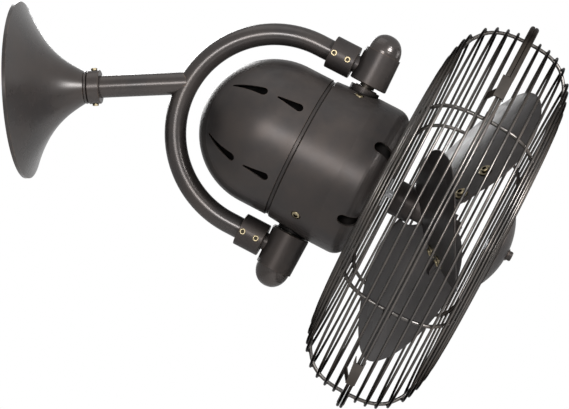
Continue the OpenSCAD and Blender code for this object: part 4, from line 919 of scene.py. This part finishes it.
class FAN_OT_build_blades(Operator):
    """Build the three blades as thin hollowed sheets with round edges"""

    bl_idname = "fan.build_blades"
    bl_label = "Build the blades"

    def execute(self, context):
        sizes = context.scene.fan_blades
        half = sizes.thickness / MM / 2
        outline = blade_outline(sizes.outline_steps)
        centre = (BLADE_MID, 0)
        material = finish("Bronze_blade")
        levels = [0.12, 0.25, 0.38, 0.5, 0.62, 0.73, 0.83, 0.91, 0.97]
        rim = [(half * (1 - math.cos(math.radians(f))), half * math.sin(math.radians(f)))
               for f in (90, 60, 30, 0, -30, -60, -90)]
        for number, angle in BLADE_ANGLES.items():
            bm = bmesh.new()
            rows = []

            def add_row(share, inset, w):
                row = []
                for point in outline:
                    reach = math.hypot(point[0] - centre[0], point[1] - centre[1])
                    k = share - inset / reach
                    u = centre[0] + k * (point[0] - centre[0])
                    v = centre[1] + k * (point[1] - centre[1])
                    row.append(bm.verts.new(at_angle(angle, *blade_point(u, v, w))))
                rows.append(row)

            for level in levels:
                add_row(level, 0, half)
            for inset, w in rim:
                add_row(1, inset, w)
            for level in reversed(levels):
                add_row(level, 0, -half)
            grid_faces(bm, rows, close_columns=True)
            for row, w in ((rows[0], half), (rows[-1], -half)):
                tip = bm.verts.new(at_angle(angle, *blade_point(*centre, w)))
                for j in range(len(row)):
                    bm.faces.new((tip, row[j], row[(j + 1) % len(row)]))
            finish_piece(bm, f"blade_{number}_sheet", material, "spinner",
                         [f"blade_{number}"])
        return {"FINISHED"}


def aim(lamp, target):
    """Turns a lamp or camera to face a point."""
    lamp.rotation_euler = (target - lamp.location).to_track_quat("-Z", "Y").to_euler()


def add_lamp(name, place, size, power):
    """A soft rectangular lamp that faces the fan."""
    data = bpy.data.lights.new(name, "AREA")
    data.shape = "RECTANGLE"
    data.size, data.size_y = size
    data.energy = power
    lamp = bpy.data.objects.new(name, data)
    bpy.context.scene.collection.objects.link(lamp)
    lamp.location = place
    aim(lamp, (CAD_BOX[0] + CAD_BOX[1]) / 2)
    return lamp


def seen_directly(tree):
    """One for rays from the camera, from gloss and from glass, else nothing."""
    path = add_node(tree, "ShaderNodeLightPath")
    first = math_node(tree, "MAXIMUM", path.outputs["Is Camera Ray"],
                      path.outputs["Is Glossy Ray"])
    return math_node(tree, "MAXIMUM", first, path.outputs["Is Transmission Ray"])


FLOOR_HALF = 3.0
FLOOR_GLOW = 0.45
CAMERA_PLACE = (0.4728, -2.0919, -0.0491)
CAMERA_RIGHT = (0.9943, 0.0980, -0.0413)
CAMERA_FORWARD = (-0.0995, 0.9944, -0.0368)
LAMPS = (
    ("Key_lamp", (-0.2, -2.4, 0.38), (0.75, 0.42), 1),
    ("Top_lamp", (-0.2, -0.2, 1.7), (1.6, 1.0), 0.14),
    ("Side_lamp", (1.3, -1.3, 0.58), (0.5, 0.45), 1.5),
    ("Back_lamp", (-1.0, 1.9, 0.8), (1.2, 0.9), 0.9),
    ("Front_lamp", (1.9, 0.7, -0.1), (0.8, 0.8), 0.35),
)


def build_floor(scene, studio, centre):
    """A pale floor that keeps the shadow of the fan."""
    material = bpy.data.materials.new("Studio_floor")
    material.use_nodes = True
    tree = material.node_tree
    tree.nodes.clear()
    diffuse = tree.nodes.new("ShaderNodeBsdfDiffuse")
    diffuse.inputs["Color"].default_value = (0.8, 0.8, 0.8, 1)
    glow = tree.nodes.new("ShaderNodeEmission")
    both = tree.nodes.new("ShaderNodeAddShader")
    tree.links.new(math_node(tree, "MULTIPLY", seen_directly(tree), FLOOR_GLOW),
                   glow.inputs["Strength"])
    tree.links.new(diffuse.outputs[0], both.inputs[0])
    tree.links.new(glow.outputs[0], both.inputs[1])
    tree.links.new(both.outputs[0], tree.nodes.new("ShaderNodeOutputMaterial").inputs[0])
    bm = bmesh.new()
    half = FLOOR_HALF
    corners = [(-half, -half), (half, -half), (half, half), (-half, half)]
    bm.faces.new([bm.verts.new((centre.x + x, y, studio.floor_height)) for x, y in corners])
    mesh = bpy.data.meshes.new("studio_floor")
    bm.to_mesh(mesh)
    bm.free()
    mesh.materials.append(material)
    floor = bpy.data.objects.new("studio_floor", mesh)
    scene.collection.objects.link(floor)


def build_world(scene, studio):
    """White surroundings for the eye and for gloss, and a dim room for soft light."""
    world = bpy.data.worlds.new("Studio_white")
    scene.world = world
    world.use_nodes = True
    tree = world.node_tree
    tree.nodes.clear()
    dim, white = (tree.nodes.new("ShaderNodeBackground") for _ in range(2))
    dim.inputs["Color"].default_value = (1, 1, 1, 1)
    dim.inputs["Strength"].default_value = studio.ambient
    white.inputs["Color"].default_value = (1, 1, 1, 1)
    mix = tree.nodes.new("ShaderNodeMixShader")
    tree.links.new(seen_directly(tree), mix.inputs["Fac"])
    tree.links.new(dim.outputs[0], mix.inputs[1])
    tree.links.new(white.outputs[0], mix.inputs[2])
    tree.links.new(mix.outputs[0], tree.nodes.new("ShaderNodeOutputWorld").inputs[0])


def build_camera(scene, studio):
    """The camera that stands where the photograph was taken from."""
    data = bpy.data.cameras.new("Photo_camera")
    data.sensor_width = 36
    data.lens = studio.lens / MM
    data.clip_start, data.clip_end = 0.05, 100
    camera = bpy.data.objects.new("Photo_camera", data)
    scene.collection.objects.link(camera)
    forward = Vector(CAMERA_FORWARD).normalized()
    up = Vector(CAMERA_RIGHT).cross(forward).normalized()
    turn = Matrix((forward.cross(up), up, -forward)).transposed().to_4x4()
    camera.matrix_world = Matrix.Translation(CAMERA_PLACE) @ turn
    scene.camera = camera


class FAN_OT_build_studio(Operator):
    """Build the floor, the white surroundings, the lamps and the camera"""

    bl_idname = "fan.build_studio"
    bl_label = "Build the studio"

    def execute(self, context):
        scene = context.scene
        studio = scene.fan_studio
        centre = (CAD_BOX[0] + CAD_BOX[1]) / 2
        build_floor(scene, studio, centre)
        build_world(scene, studio)
        for name, shift, size, share in LAMPS:
            add_lamp(name, centre + Vector(shift), size, share * studio.key_power)
        build_camera(scene, studio)
        scene.view_settings.view_transform = "Standard"
        return {"FINISHED"}


STEPS = (FAN_OT_paint_mount, FAN_OT_paint_head, FAN_OT_finish_metals, FAN_OT_build_guard_rings,
         FAN_OT_build_guard_ribs, FAN_OT_build_saddle, FAN_OT_build_blades,
         FAN_OT_build_studio)


class FAN_PT_panel(Panel):
    """Sizes, colours and steps of the wall fan"""

    bl_idname = "FAN_PT_panel"
    bl_label = "Wall Fan"
    bl_space_type = "VIEW_3D"
    bl_region_type = "UI"
    bl_category = "Wall Fan"

    def draw(self, context):
        for name in GROUPS:
            box = self.layout.box()
            settings = getattr(context.scene, name)
            for key in settings.__annotations__:
                box.prop(settings, key)
        for step in STEPS:
            self.layout.operator(step.bl_idname)


GROUPS = {"fan_guard": GuardSizes, "fan_blades": BladeSizes, "fan_finish": FinishColours,
          "fan_studio": StudioSettings}


def register():
    for cls in (*GROUPS.values(), *STEPS, FAN_PT_panel):
        bpy.utils.register_class(cls)
    for name, cls in GROUPS.items():
        setattr(bpy.types.Scene, name, PointerProperty(type=cls))


def unregister():
    for name in GROUPS:
        delattr(bpy.types.Scene, name)
    for cls in reversed((*GROUPS.values(), *STEPS, FAN_PT_panel)):
        bpy.utils.unregister_class(cls)


def main():
    """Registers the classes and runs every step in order."""
    register()
    for step in STEPS:
        group, action = step.bl_idname.split(".")
        getattr(getattr(bpy.ops, group), action)()


if __name__ == "__main__":
    main()
